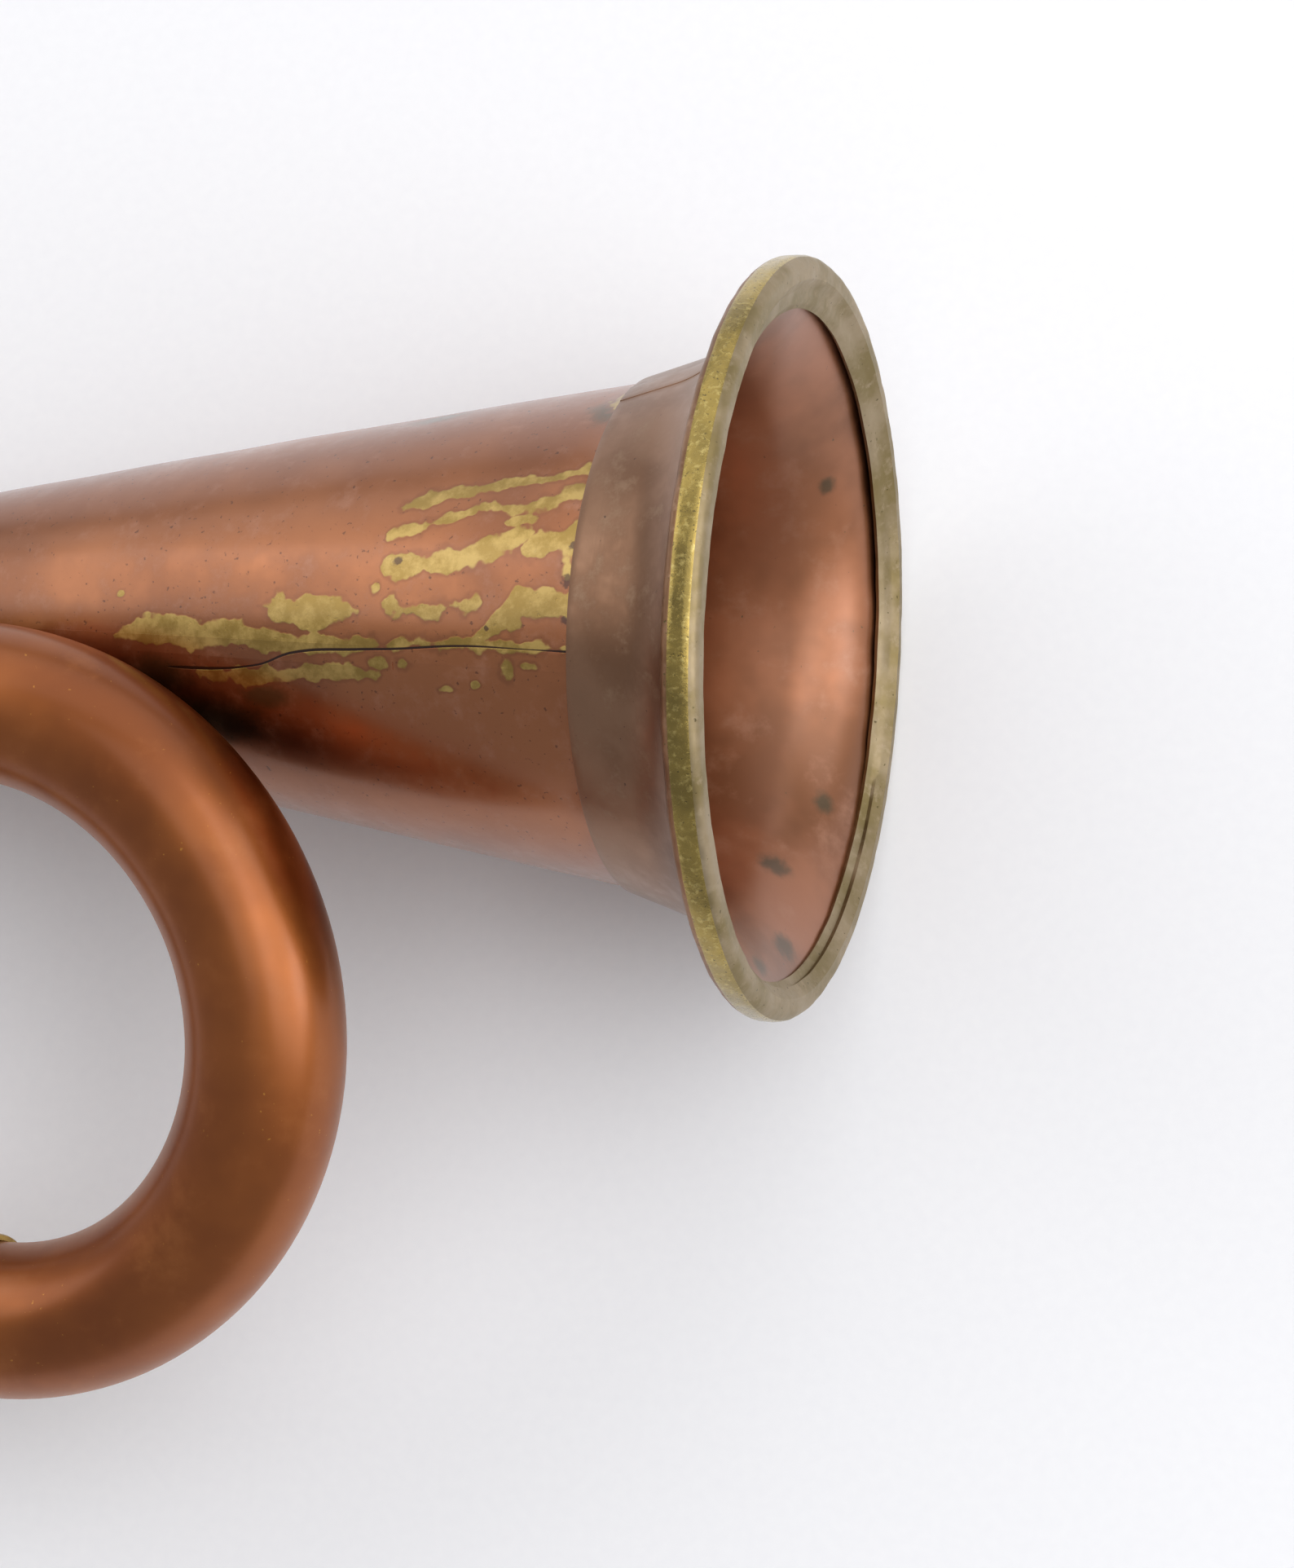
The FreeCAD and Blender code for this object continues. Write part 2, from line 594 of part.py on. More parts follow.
bow_foot = FreeCAD.Vector(*[read(rule) for rule in LEFT_BOW_CENTRE])
bow_foot_up = FreeCAD.Vector(*LOWER_ACROSS).normalize() * -1
reach = read("Sizes.bow_stay_place") - bow_foot.x
drop = math.sqrt(read("Worked.rear_bow_radius") ** 2 - reach ** 2)
bow_foot += FreeCAD.Vector(reach, 0, 0) + bow_foot_up * drop
bow_stay = stay("bow_stay", bow_foot, spot("Sizes.bow_stay_place", LEAD_LINE),
                (bow_skin, bow_pad_skin), (lead_skin, lead_pad_skin))

# ---------------------------------------------------------------- solder where the bow meets the bell

doc.recompute()
apart, touching, _ = bell_cone.Shape.distToShape(right_bow.Shape)
bell_spot, bow_spot = touching[0]
print("front bow stands %.2f mm off the bell, %.1f mm behind the front" % (apart, bell_spot.x))
outward = FreeCAD.Vector(0, bell_spot.y, bell_spot.z).normalize()
solder_blank = rod("solder_blank", bell_spot - outward * read("Sizes.solder_depth"), outward,
                   "0.5 * Sizes.solder_length", "Sizes.solder_height")
bow_body = bow_blank("bow_body", "Worked.front_bow_radius",
                     "Sizes.coil_radius + Sizes.solder_clearance", RIGHT_BOW_CENTRE, FRONT_ACROSS)
bell_body = tail_blank("bell_body", "Sizes.solder_clearance")
bow_solder = combine("Cut", "bow_solder", combine("Cut", "solder_trim", solder_blank, bell_body), bow_body)

# ---------------------------------------------------------------- sling eyes and rings


def sling_eye(label, line, side):
    """Make an eye that stands out of a ferrule, to one side along Y."""
    line_y, line_z = read(line[0]), read(line[1])
    place, reach = read("Sizes.eye_place"), read("Sizes.tool_reach")
    across_x = FreeCAD.Vector(1, 0, 0)
    hole_centre = FreeCAD.Vector(
        place, line_y + side * read("Worked.ferrule_radius + Sizes.eye_height"), line_z)
    sheet_start = hole_centre - across_x * read("0.5 * Sizes.eye_sheet")
    head = rod(label + "_head", sheet_start, across_x, "Sizes.eye_radius", "Sizes.eye_sheet")
    neck = primitive("Box", label + "_neck", Length="Sizes.eye_sheet",
                     Width="Sizes.eye_height + Sizes.eye_root", Height="2 * Sizes.eye_radius")
    inwards = 0 if side < 0 else read("Sizes.eye_height + Sizes.eye_root")
    neck.Placement.Base = sheet_start - FreeCAD.Vector(0, inwards, read("Sizes.eye_radius"))
    far_start = FreeCAD.Vector(place - reach, line_y, line_z)
    foot = rod(label + "_foot", FreeCAD.Vector(place, line_y, line_z), FreeCAD.Vector(0, side, 0),
               "Sizes.pad_radius", "Sizes.tool_reach")
    skin = rod(label + "_skin", far_start, across_x,
               "Worked.ferrule_radius + Sizes.pad_sheet", "2 * Sizes.tool_reach")
    blank = combine("Fuse", label + "_blank", combine("Fuse", label + "_lug", head, neck),
                    combine("Common", label + "_saddle", foot, skin))
    hole = rod(label + "_hole", hole_centre - across_x * reach, across_x,
               "Sizes.eye_hole_radius", "2 * Sizes.tool_reach")
    seat = rod(label + "_seat", far_start, across_x,
               "Worked.ferrule_radius + Sizes.eye_seat_gap", "2 * Sizes.tool_reach")
    eye = combine("Cut", label + "_trim", combine("Cut", label + "_bored", blank, hole), seat)
    eye.Label = label
    return eye, hole_centre


def sling_ring(label, hole_centre):
    """Make a ring that passes through an eye's hole and hangs straight down from it."""
    angle = math.radians(read("Sizes.lay_roll"))
    hang = FreeCAD.Vector(0, math.sin(angle), -math.cos(angle))
    ring = primitive("Torus", label, Radius1="Sizes.ring_radius", Radius2="Sizes.ring_wire")
    centre = hole_centre + hang * read("Sizes.ring_radius")
    ring.Placement = axes_placement(centre, (1, 0, 0), hang)
    return ring


bell_sling_eye, bell_hole = sling_eye("bell_sling_eye", BELL_LINE, -1)
lower_sling_eye, lower_hole = sling_eye("lower_sling_eye", LOWER_LINE, 1)
bell_sling_ring = sling_ring("bell_sling_ring", bell_hole)
lower_sling_ring = sling_ring("lower_sling_ring", lower_hole)

# ---------------------------------------------------------------- check, lay down and export

doc.recompute()
pieces = [bell_cone, bell_garland, rim_binding, rim_wire, left_bow, right_bow, lower_tube, leadpipe,
          bell_ferrule, lower_left_ferrule, lower_right_ferrule, leadpipe_ferrule,
          mouthpiece_receiver, receiver_collar, mouthpiece, bow_solder,
          bell_sling_eye, lower_sling_eye, bell_sling_ring, lower_sling_ring] + bell_stay + bow_stay

for item in doc.Objects:
    if "Invalid" in item.State or "Error" in item.State:
        raise RuntimeError("%s failed: %s" % (item.Label, item.State))
for piece in pieces:
    if piece.Shape.isNull() or not piece.Shape.isValid() or not piece.Shape.Solids:
        raise RuntimeError("%s has no valid solid" % piece.Label)

lay = FreeCAD.Placement(FreeCAD.Vector(), FreeCAD.Rotation(FreeCAD.Vector(0, 0, 1), 180))
pitch = FreeCAD.Placement(FreeCAD.Vector(),
                          FreeCAD.Rotation(FreeCAD.Vector(0, 1, 0), -read("Sizes.lay_pitch")))
roll = FreeCAD.Placement(FreeCAD.Vector(),
                         FreeCAD.Rotation(FreeCAD.Vector(1, 0, 0), read("Sizes.lay_roll")))
turn = pitch.multiply(roll).multiply(lay)

box = FreeCAD.BoundBox()
for piece in pieces:
    shape = piece.Shape.copy()
    shape.Placement = turn.multiply(shape.Placement)
    box.add(shape.optimalBoundingBox(False))
shift = FreeCAD.Vector(-box.Center.x, -box.Center.y, -box.ZMin)

os.makedirs("parts", exist_ok=True)
for piece in pieces:
    shape = piece.Shape.copy()
    shape.Placement = FreeCAD.Placement(shift, FreeCAD.Rotation()).multiply(turn).multiply(shape.Placement)
    shape.exportStep("parts/%s.step" % piece.Label)
    print("%-22s %8.1f mm3" % (piece.Label, shape.Volume))
print("box %.1f x %.1f x %.1f mm" % (box.XLength, box.YLength, box.ZLength))
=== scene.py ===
"""Copper signal bugle: its visible surfaces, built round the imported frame.

Every piece is drawn in the bell's own frame and then laid down. In that frame +X runs from the
bell's mouth to the mouthpiece along the bell's axis, +Y goes from the bell to the lower tube, and
+Z points to the side on which the leadpipe crosses the bell. X = 0 is the front of the rim.
Sizes in the classes are in millimetres, and angles in degrees.
"""

import json
import logging
import math
from collections.abc import Callable, Sequence
from dataclasses import dataclass, field
from enum import Enum

import bmesh
import bpy
from mathutils import Euler, Matrix, Vector

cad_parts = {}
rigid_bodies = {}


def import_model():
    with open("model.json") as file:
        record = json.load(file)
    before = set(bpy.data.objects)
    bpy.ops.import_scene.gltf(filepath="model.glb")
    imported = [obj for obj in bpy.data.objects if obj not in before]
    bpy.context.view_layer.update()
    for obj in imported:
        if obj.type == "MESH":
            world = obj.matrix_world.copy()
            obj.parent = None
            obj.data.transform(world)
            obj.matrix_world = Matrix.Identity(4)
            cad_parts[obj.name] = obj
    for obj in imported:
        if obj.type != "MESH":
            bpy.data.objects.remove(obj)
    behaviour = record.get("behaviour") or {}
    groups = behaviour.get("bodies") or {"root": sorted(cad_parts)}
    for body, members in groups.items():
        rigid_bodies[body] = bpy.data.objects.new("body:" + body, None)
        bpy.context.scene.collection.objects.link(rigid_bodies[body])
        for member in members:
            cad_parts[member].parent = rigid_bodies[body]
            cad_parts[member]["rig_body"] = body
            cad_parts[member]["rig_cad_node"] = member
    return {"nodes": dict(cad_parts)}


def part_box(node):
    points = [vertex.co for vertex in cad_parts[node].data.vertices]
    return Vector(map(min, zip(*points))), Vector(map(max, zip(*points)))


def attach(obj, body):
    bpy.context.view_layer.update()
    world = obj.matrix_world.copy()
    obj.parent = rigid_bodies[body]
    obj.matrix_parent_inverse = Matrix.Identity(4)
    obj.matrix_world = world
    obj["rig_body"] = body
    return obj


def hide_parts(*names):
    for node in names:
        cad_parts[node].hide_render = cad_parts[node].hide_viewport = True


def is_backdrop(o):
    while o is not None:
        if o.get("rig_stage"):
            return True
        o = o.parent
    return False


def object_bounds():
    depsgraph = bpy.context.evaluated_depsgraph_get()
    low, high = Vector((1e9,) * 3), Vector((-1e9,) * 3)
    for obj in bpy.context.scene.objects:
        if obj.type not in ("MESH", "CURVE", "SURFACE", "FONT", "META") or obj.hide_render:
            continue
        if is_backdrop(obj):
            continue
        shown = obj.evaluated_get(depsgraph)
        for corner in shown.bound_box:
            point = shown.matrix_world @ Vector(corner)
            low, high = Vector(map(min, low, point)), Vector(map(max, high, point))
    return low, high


MM = 0.001
FULL_TURN = math.tau
DEGREE = math.pi / 180
# room between two pieces that fit together, in mm
GAP = 0.05
Point = tuple[float, float]

logging.basicConfig(level=logging.INFO, format="%(message)s")
log = logging.getLogger("bugle")


class Body(str, Enum):
    """The bodies that a piece can ride on."""

    BUGLE = "bugle"
    MOUTHPIECE = "mouthpiece"
    BELL_RING = "bell_sling_ring"
    LOWER_RING = "lower_sling_ring"


class Slot(str, Enum):
    """The material slots that the record names."""

    BELL = "bell_copper"
    GARLAND = "garland_copper"
    COIL = "coil_copper"
    RIM = "rim_brass"
    FITTING = "fitting_brass"
    RING = "ring_brass"
    MOUTHPIECE = "mouthpiece_brass"
    SOLDER = "soft_solder"


class Kind(str, Enum):
    """The node types that the finishes are made of."""

    OUTPUT = "ShaderNodeOutputMaterial"
    SHADER = "ShaderNodeBsdfPrincipled"
    COORDINATES = "ShaderNodeTexCoord"
    MAPPING = "ShaderNodeMapping"
    SPLIT = "ShaderNodeSeparateXYZ"
    JOIN = "ShaderNodeCombineXYZ"
    MATH = "ShaderNodeMath"
    RANGE = "ShaderNodeMapRange"
    MIX = "ShaderNodeMix"
    NOISE = "ShaderNodeTexNoise"
    CURVE = "ShaderNodeFloatCurve"
    BUMP = "ShaderNodeBump"


# ------------------------------------------------------------------ how the bugle lies


@dataclass(frozen=True)
class Lie:
    """How the bell's own frame stands in the row frame.

    The bell's axis points up by pitch, and the coil leans by roll. The rim wire's box gives the
    centre of the rim, which is wire_place behind the front.
    """

    pitch: float = 10.43
    roll: float = 7.83
    wire_place: float = 2.9

    def matrix(self) -> Matrix:
        """Return the matrix from the bell's frame, in metres, to the row frame."""
        turned = (
            Matrix.Rotation(math.radians(-self.pitch), 4, "Y")
            @ Matrix.Rotation(math.radians(self.roll), 4, "X")
            @ Matrix.Rotation(math.pi, 4, "Z")
        )
        low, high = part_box("rim_wire")
        wire_centre = turned.to_3x3() @ Vector((self.wire_place * MM, 0, 0))
        return Matrix.Translation((low + high) / 2 - wire_centre) @ turned

    def down(self) -> Vector:
        """Return the direction across the bell's axis in which a ring hangs."""
        angle = math.radians(self.roll)
        return Vector((0, math.sin(angle), -math.cos(angle)))


# ------------------------------------------------------------------ outlines


def arc(start: Point, end: Point, radius: float, count: int) -> list[Point]:
    """Return points on an arc between two points, without the two themselves.

    Args:
        start: where the arc begins.
        end: where it ends.
        radius: its radius. A positive one bulges to the left of the way, and a negative one to
            its right.
        count: how many points to return.
    """
    first, last = Vector(start), Vector(end)
    chord = last - first
    side = math.copysign(1, radius)
    left = Vector((-chord.y, chord.x)).normalized()
    depth = math.sqrt(max(radius**2 - chord.length_squared / 4, 0))
    centre = (first + last) / 2 - left * depth * side
    begin = math.atan2(first.y - centre.y, first.x - centre.x)
    sweep = -2 * side * math.asin(min(chord.length / 2 / abs(radius), 1))
    angles = [begin + sweep * (step + 1) / (count + 1) for step in range(count)]
    return [
        (centre.x + abs(radius) * math.cos(a), centre.y + abs(radius) * math.sin(a))
        for a in angles
    ]


def run(start: Point, end: Point, count: int) -> list[Point]:
    """Return points on a straight run between two points, without the two themselves."""
    shares = [(step + 1) / (count + 1) for step in range(count)]
    return [
        (start[0] + (end[0] - start[0]) * s, start[1] + (end[1] - start[1]) * s)
        for s in shares
    ]


# ------------------------------------------------------------------ modelling bench


@dataclass
class Bench:
    """Where pieces are modelled in the bell's frame and then laid down in the row frame."""

    lie: Matrix
    made: dict[str, bpy.types.Object] = field(default_factory=dict)

    def clear(self) -> None:
        """Leave edit mode and deselect everything."""
        if bpy.context.object and bpy.context.object.mode != "OBJECT":
            bpy.ops.object.mode_set(mode="OBJECT")
        bpy.ops.object.select_all(action="DESELECT")

    def hold(self, piece: bpy.types.Object) -> None:
        """Make one piece the selected and active one."""
        self.clear()
        piece.select_set(True)
        bpy.context.view_layer.objects.active = piece

    def named(self, name: str) -> bpy.types.Object:
        """Name the primitive that was just added and bring its place into its mesh."""
        piece = bpy.context.object
        piece.name = piece.data.name = name
        bpy.ops.object.transform_apply(location=True, rotation=True, scale=True)
        return piece

    def chain(
        self, name: str, outline: Sequence[Point], line: Point
    ) -> bpy.types.Object:
        """Draw a closed outline of (x, radius) points above a line, and stay in edit mode.

        Args:
            name: the piece's name.
            outline: the points, in mm.
            line: y and z of the line that radii are measured from, in mm.

        Returns:
            The piece, with its outline selected.
        """
        spots = [Vector((x, line[0], line[1] + r)) * MM for x, r in outline]
        self.clear()
        bpy.ops.mesh.primitive_plane_add(size=MM)
        piece = self.named(name)
        bpy.ops.object.mode_set(mode="EDIT")
        bpy.ops.mesh.select_mode(type="VERT")
        bpy.ops.mesh.select_all(action="SELECT")
        bpy.ops.mesh.merge(type="CENTER")
        bpy.ops.transform.translate(value=spots[0])
        for here, after in zip(spots, [*spots[1:], spots[0]]):
            bpy.ops.mesh.extrude_vertices_move(
                TRANSFORM_OT_translate={"value": after - here}
            )
        bpy.ops.mesh.select_all(action="SELECT")
        bpy.ops.mesh.remove_doubles(threshold=0.001 * MM)
        return piece

    def lathe(
        self,
        name: str,
        outline: Sequence[Point],
        line: Point = (0, 0),
        steps: int = 128,
    ) -> bpy.types.Object:
        """Turn a closed outline about a line along X, and return the closed piece."""
        piece = self.chain(name, outline, line)
        bpy.ops.mesh.spin(
            steps=steps,
            angle=FULL_TURN,
            center=Vector((0, line[0], line[1])) * MM,
            axis=(1, 0, 0),
        )
        self.close_up()
        return piece

    def close_up(self) -> None:
        """Merge doubles, point every face outwards and leave edit mode."""
        bpy.ops.mesh.select_all(action="SELECT")
        bpy.ops.mesh.remove_doubles(threshold=0.002 * MM)
        bpy.ops.mesh.normals_make_consistent(inside=False)
        bpy.ops.mesh.select_all(action="DESELECT")
        bpy.ops.object.mode_set(mode="OBJECT")

    def pick(self, test: Callable[[Vector, Vector], bool]) -> int:
        """Select, in edit mode, the faces whose middle in mm and normal pass a test.

        Returns:
            How many faces were selected.
        """
        bpy.ops.mesh.select_mode(type="FACE")
        bpy.ops.mesh.select_all(action="DESELECT")
        mesh = bmesh.from_edit_mesh(bpy.context.object.data)
        chosen = [
            f for f in mesh.faces if test(f.calc_center_median() / MM, f.normal)
        ]
        for face in chosen:
            face.select_set(True)
        bmesh.update_edit_mesh(bpy.context.object.data)
        return len(chosen)

    def group(
        self,
        piece: bpy.types.Object,
        name: str,
        test: Callable[[Vector, Vector], bool],
    ) -> None:
        """Put the faces that pass a test in a vertex group of the piece."""
        self.hold(piece)
        piece.vertex_groups.new(name=name)
        bpy.ops.object.mode_set(mode="EDIT")
        self.pick(test)
        bpy.ops.object.vertex_group_assign()
        bpy.ops.object.mode_set(mode="OBJECT")

    def paint(
        self,
        piece: bpy.types.Object,
        slot: int,
        test: Callable[[Vector, Vector], bool],
    ) -> None:
        """Give the faces that pass a test the finish in one of the piece's slots."""
        self.hold(piece)
        bpy.ops.object.mode_set(mode="EDIT")
        self.pick(test)
        piece.active_material_index = slot
        bpy.ops.object.material_slot_assign()
        bpy.ops.object.mode_set(mode="OBJECT")

    def finish_with(
        self, piece: bpy.types.Object, kind: str, **settings: object
    ) -> None:
        """Add a modifier with its settings and apply it."""
        self.hold(piece)
        modifier = piece.modifiers.new(kind.title(), kind)
        for key, value in settings.items():
            setattr(modifier, key, value)
        bpy.ops.object.modifier_apply(modifier=modifier.name)

    def dent(
        self,
        piece: bpy.types.Object,
        depth: float,
        spacing: float,
        group: str = "",
        direction: str = "NORMAL",
    ) -> None:
        """Give a piece the slow unevenness of hand-worked sheet.

        Args:
            piece: what to dent.
            depth: from the lowest to the highest point, in mm.
            spacing: size of a dent, in mm.
            group: the vertex group to keep to, if any.
            direction: NORMAL, X, Y or Z.
        """
        pattern = bpy.data.textures.new(piece.name + "_dents", "CLOUDS")
        pattern.noise_scale = spacing * MM
        pattern.noise_depth = 1
        self.finish_with(
            piece,
            "DISPLACE",
            texture=pattern,
            texture_coords="LOCAL",
            direction=direction,
            strength=depth * MM,
            mid_level=0.5,
            vertex_group=group,
        )

    def soften(
        self, piece: bpy.types.Object, width: float, limit: float = 28
    ) -> None:
        """Round the edges sharper than a limit."""
        self.finish_with(
            piece,
            "BEVEL",
            width=width * MM,
            segments=3,
            limit_method="ANGLE",
            angle_limit=math.radians(limit),
            use_clamp_overlap=True,
        )

    def lay_down(
        self,
        piece: bpy.types.Object,
        body: Body,
        slot: Slot,
        nodes: Sequence[str],
        smooth: float = 35,
    ) -> bpy.types.Object:
        """Turn a finished piece to the row frame and say what it stands for.

        Args:
            piece: the piece, still in the bell's frame.
            body: the body that it rides on.
            slot: the record's slot name for its finish; not used.
            nodes: the CAD nodes that it stands for.
            smooth: edges below this angle are shaded smooth.

        Returns:
            The same piece.
        """
        self.hold(piece)
        bpy.ops.object.shade_smooth_by_angle(angle=math.radians(smooth))
        piece.matrix_world = self.lie
        bpy.ops.object.transform_apply(location=True, rotation=True, scale=True)
        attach(piece, body.value)
        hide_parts(*nodes)
        self.made[piece.name] = piece
        boxes = [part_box(node) for node in nodes]
        low = [min(b[0][i] for b in boxes) for i in range(3)]
        high = [max(b[1][i] for b in boxes) for i in range(3)]
        spots = [v.co for v in piece.data.vertices]
        off = max(
            max(abs(min(s[i] for s in spots) - low[i]) for i in range(3)),
            max(abs(max(s[i] for s in spots) - high[i]) for i in range(3)),
        )
        log.info(
            "%s: %d faces, box within %.2f mm of %s",
            piece.name,
            len(piece.data.polygons),
            off / MM,
            ", ".join(nodes),
        )
        return piece


# ------------------------------------------------------------------ finishes


def colour(hex_value: str) -> tuple[float, float, float, float]:
    """Return the linear colour of an sRGB hex value."""
    parts = [int(hex_value[i : i + 2], 16) / 255 for i in (1, 3, 5)]
    linear = [p / 12.92 if p <= 0.04045 else ((p + 0.055) / 1.055) ** 2.4 for p in parts]
    return (linear[0], linear[1], linear[2], 1.0)


@dataclass
class Graph:
    """The node tree of one material, with its places in the bell's frame."""

    name: str
    lie: Matrix
    material: bpy.types.Material = field(init=False)
    tree: bpy.types.NodeTree = field(init=False)

    def __post_init__(self) -> None:
        """Start an empty tree."""
        self.material = bpy.data.materials.new(self.name)
        self.material.use_nodes = True
        self.tree = self.material.node_tree
        self.tree.nodes.clear()

    def add(
        self, kind: Kind, inputs: dict | None = None, **settings: object
    ) -> bpy.types.Node:
        """Add one node.

        Args:
            kind: the node's type.
            inputs: what its sockets get, by name or number: a value, a socket or a node.
            settings: the node's own properties.

        Returns:
            The node.
        """
        node = self.tree.nodes.new(kind.value)
        for key, value in settings.items():
            setattr(node, key, value)
        for key, value in (inputs or {}).items():
            usable = [s for s in node.inputs if s.enabled]
            socket = (
                usable[key]
                if isinstance(key, int)
                else next(s for s in usable if s.name == key)
            )
            if isinstance(value, bpy.types.Node):
                value = next(s for s in value.outputs if s.enabled)
            if isinstance(value, bpy.types.NodeSocket):
                self.tree.links.new(value, socket)
            else:
                socket.default_value = value
        return node

    def places(self) -> dict[str, bpy.types.NodeSocket]:
        """Return the sockets for the place in mm, along the axis, and round it."""
        back = self.lie.inverted()
        put = self.add(
            Kind.MAPPING,
            {
                "Vector": self.add(Kind.COORDINATES).outputs["Object"],
                "Location": back.to_translation() / MM,
                "Rotation": back.to_euler(),
                "Scale": (1 / MM, 1 / MM, 1 / MM),
            },
            vector_type="POINT",
        )
        parts = self.add(Kind.SPLIT, {"Vector": put})
        x, y, z = (parts.outputs[key] for key in "XYZ")
        up = self.add(Kind.MATH, {0: y, 1: -1.0}, operation="MULTIPLY")
        turn = self.add(Kind.MATH, {0: up, 1: z}, operation="ARCTAN2")
        squares = [self.add(Kind.MATH, {0: part, 1: 2.0}, operation="POWER") for part in (y, z)]
        total = self.add(Kind.MATH, {0: squares[0], 1: squares[1]}, operation="ADD")
        radius = self.add(Kind.MATH, {0: total}, operation="SQRT")
        angle = self.add(Kind.MATH, {0: turn}, operation="DEGREES")
        return {
            "point": put.outputs["Vector"],
            "x": x,
            "radius": radius.outputs[0],
            "angle": angle.outputs[0],
        }

    def blend(
        self,
        tone: bpy.types.Node | tuple[float, ...],
        layer: bpy.types.Node | tuple[float, ...],
        source: bpy.types.Node,
        edges: tuple[float, float, float],
    ) -> tuple[bpy.types.Node, bpy.types.Node]:
        """Lay a colour over a tone where a source lies between two edges.

        Args:
            tone: what lies below.
            layer: the colour laid over it.
            source: what decides where it lies.
            edges: the source's value where the layer starts, where it is full, and how full.

        Returns:
            The new tone, and the mask.
        """
        start, full, most = edges
        mask = self.add(
            Kind.RANGE,
            {"Value": source, "From Min": start, "From Max": full, "To Max": most},
            interpolation_type="SMOOTHSTEP",
        )
        laid = self.add(Kind.MIX, {"Factor": mask, "A": tone, "B": layer}, data_type="RGBA")
        return laid, mask

    def close(self, shader: bpy.types.Node) -> bpy.types.Material:
        """Link the shader to the output and return the material."""
        self.add(Kind.OUTPUT, {"Surface": shader})
        return self.material


@dataclass(frozen=True)
class Streak:
    """A run of spelter on the bell: places along it, and half its width there.

    Each station is (mm behind the front, degrees round from the top, half width in mm).
    """

    stations: tuple[tuple[float, float, float], ...]


@dataclass(frozen=True)
class Smudge:
    """A soft patch: its middle, and its half length and half width in mm."""

    place: float
    angle: float
    length: float
    width: float


@dataclass(frozen=True)
class SeamMarks:
    """What the brazing of the bell's seam left on the sheet, as distances in mm.

    The curves reach this far along the bell, and from the lowest angle through the sweep. A
    streak comes to a point just past each of its ends.
    """

    reach: float = 120.0
    lowest: float = -60.0
    sweep: float = 150.0
    widest: float = 4.0
    point: float = 1.5

    def trace(
        self, graph: Graph, places: dict[str, bpy.types.NodeSocket], streak: Streak
    ) -> bpy.types.Node:
        """Return the node whose value is the distance outside a streak's edge, in mm."""
        share = graph.add(Kind.MATH, {0: places["x"], 1: self.reach}, operation="DIVIDE")
        middle, half = (graph.add(Kind.CURVE, {"Value": share}) for _ in range(2))
        first, last = streak.stations[0], streak.stations[-1]
        ends = [
            (first[0] - self.point, first[1], -self.widest),
            (last[0] + self.point, last[1], -self.widest),
        ]
        stations = [ends[0], *streak.stations, ends[1]]
        for node, pick in (
            (middle, lambda s: (s[1] - self.lowest) / self.sweep),
            (half, lambda s: (s[2] + self.widest) / (2 * self.widest)),
        ):
            line = node.mapping.curves[0]
            rows = [(s[0] / self.reach, pick(s)) for s in stations]
            for spot, row in zip((line.points[0], line.points[-1]), (rows[0], rows[-1])):
                spot.location = row
            for row in rows[1:-1]:
                line.points.new(*row)
            node.mapping.extend = "HORIZONTAL"
            node.mapping.update()
        angle = graph.add(
            Kind.MATH, {0: middle, 1: self.sweep, 2: self.lowest}, operation="MULTIPLY_ADD"
        )
        off = graph.add(Kind.MATH, {0: places["angle"], 1: angle}, operation="SUBTRACT")
        off = graph.add(Kind.MATH, {0: off}, operation="ABSOLUTE")
        off = graph.add(Kind.MATH, {0: off, 1: places["radius"]}, operation="MULTIPLY")
        off = graph.add(Kind.MATH, {0: off, 1: DEGREE}, operation="MULTIPLY")
        width = graph.add(
            Kind.MATH, {0: half, 1: 2 * self.widest, 2: -self.widest}, operation="MULTIPLY_ADD"
        )
        return graph.add(Kind.MATH, {0: off, 1: width}, operation="SUBTRACT")

    def patch(
        self, graph: Graph, places: dict[str, bpy.types.NodeSocket], smudge: Smudge
    ) -> bpy.types.Node:
        """Return the node whose value is 0 in a smudge's middle and 1 on its edge."""
        along = graph.add(Kind.MATH, {0: places["x"], 1: smudge.place}, operation="SUBTRACT")
        along = graph.add(Kind.MATH, {0: along, 1: smudge.length}, operation="DIVIDE")
        across = graph.add(Kind.MATH, {0: places["angle"], 1: smudge.angle}, operation="SUBTRACT")
        across = graph.add(Kind.MATH, {0: across, 1: places["radius"]}, operation="MULTIPLY")
        across = graph.add(Kind.MATH, {0: across, 1: DEGREE / smudge.width}, operation="MULTIPLY")
        squares = [
            graph.add(Kind.MATH, {0: part, 1: part}, operation="MULTIPLY")
            for part in (along, across)
        ]
        total = graph.add(Kind.MATH, {0: squares[0], 1: squares[1]}, operation="ADD")
        return graph.add(Kind.MATH, {0: total}, operation="SQRT")

    def nearest(self, graph: Graph, found: Sequence[bpy.types.Node]) -> bpy.types.Node:
        """Return the node whose value is the least of several."""
        least = found[0]
        for other in found[1:]:
            least = graph.add(Kind.MATH, {0: least, 1: other}, operation="MINIMUM")
        return least


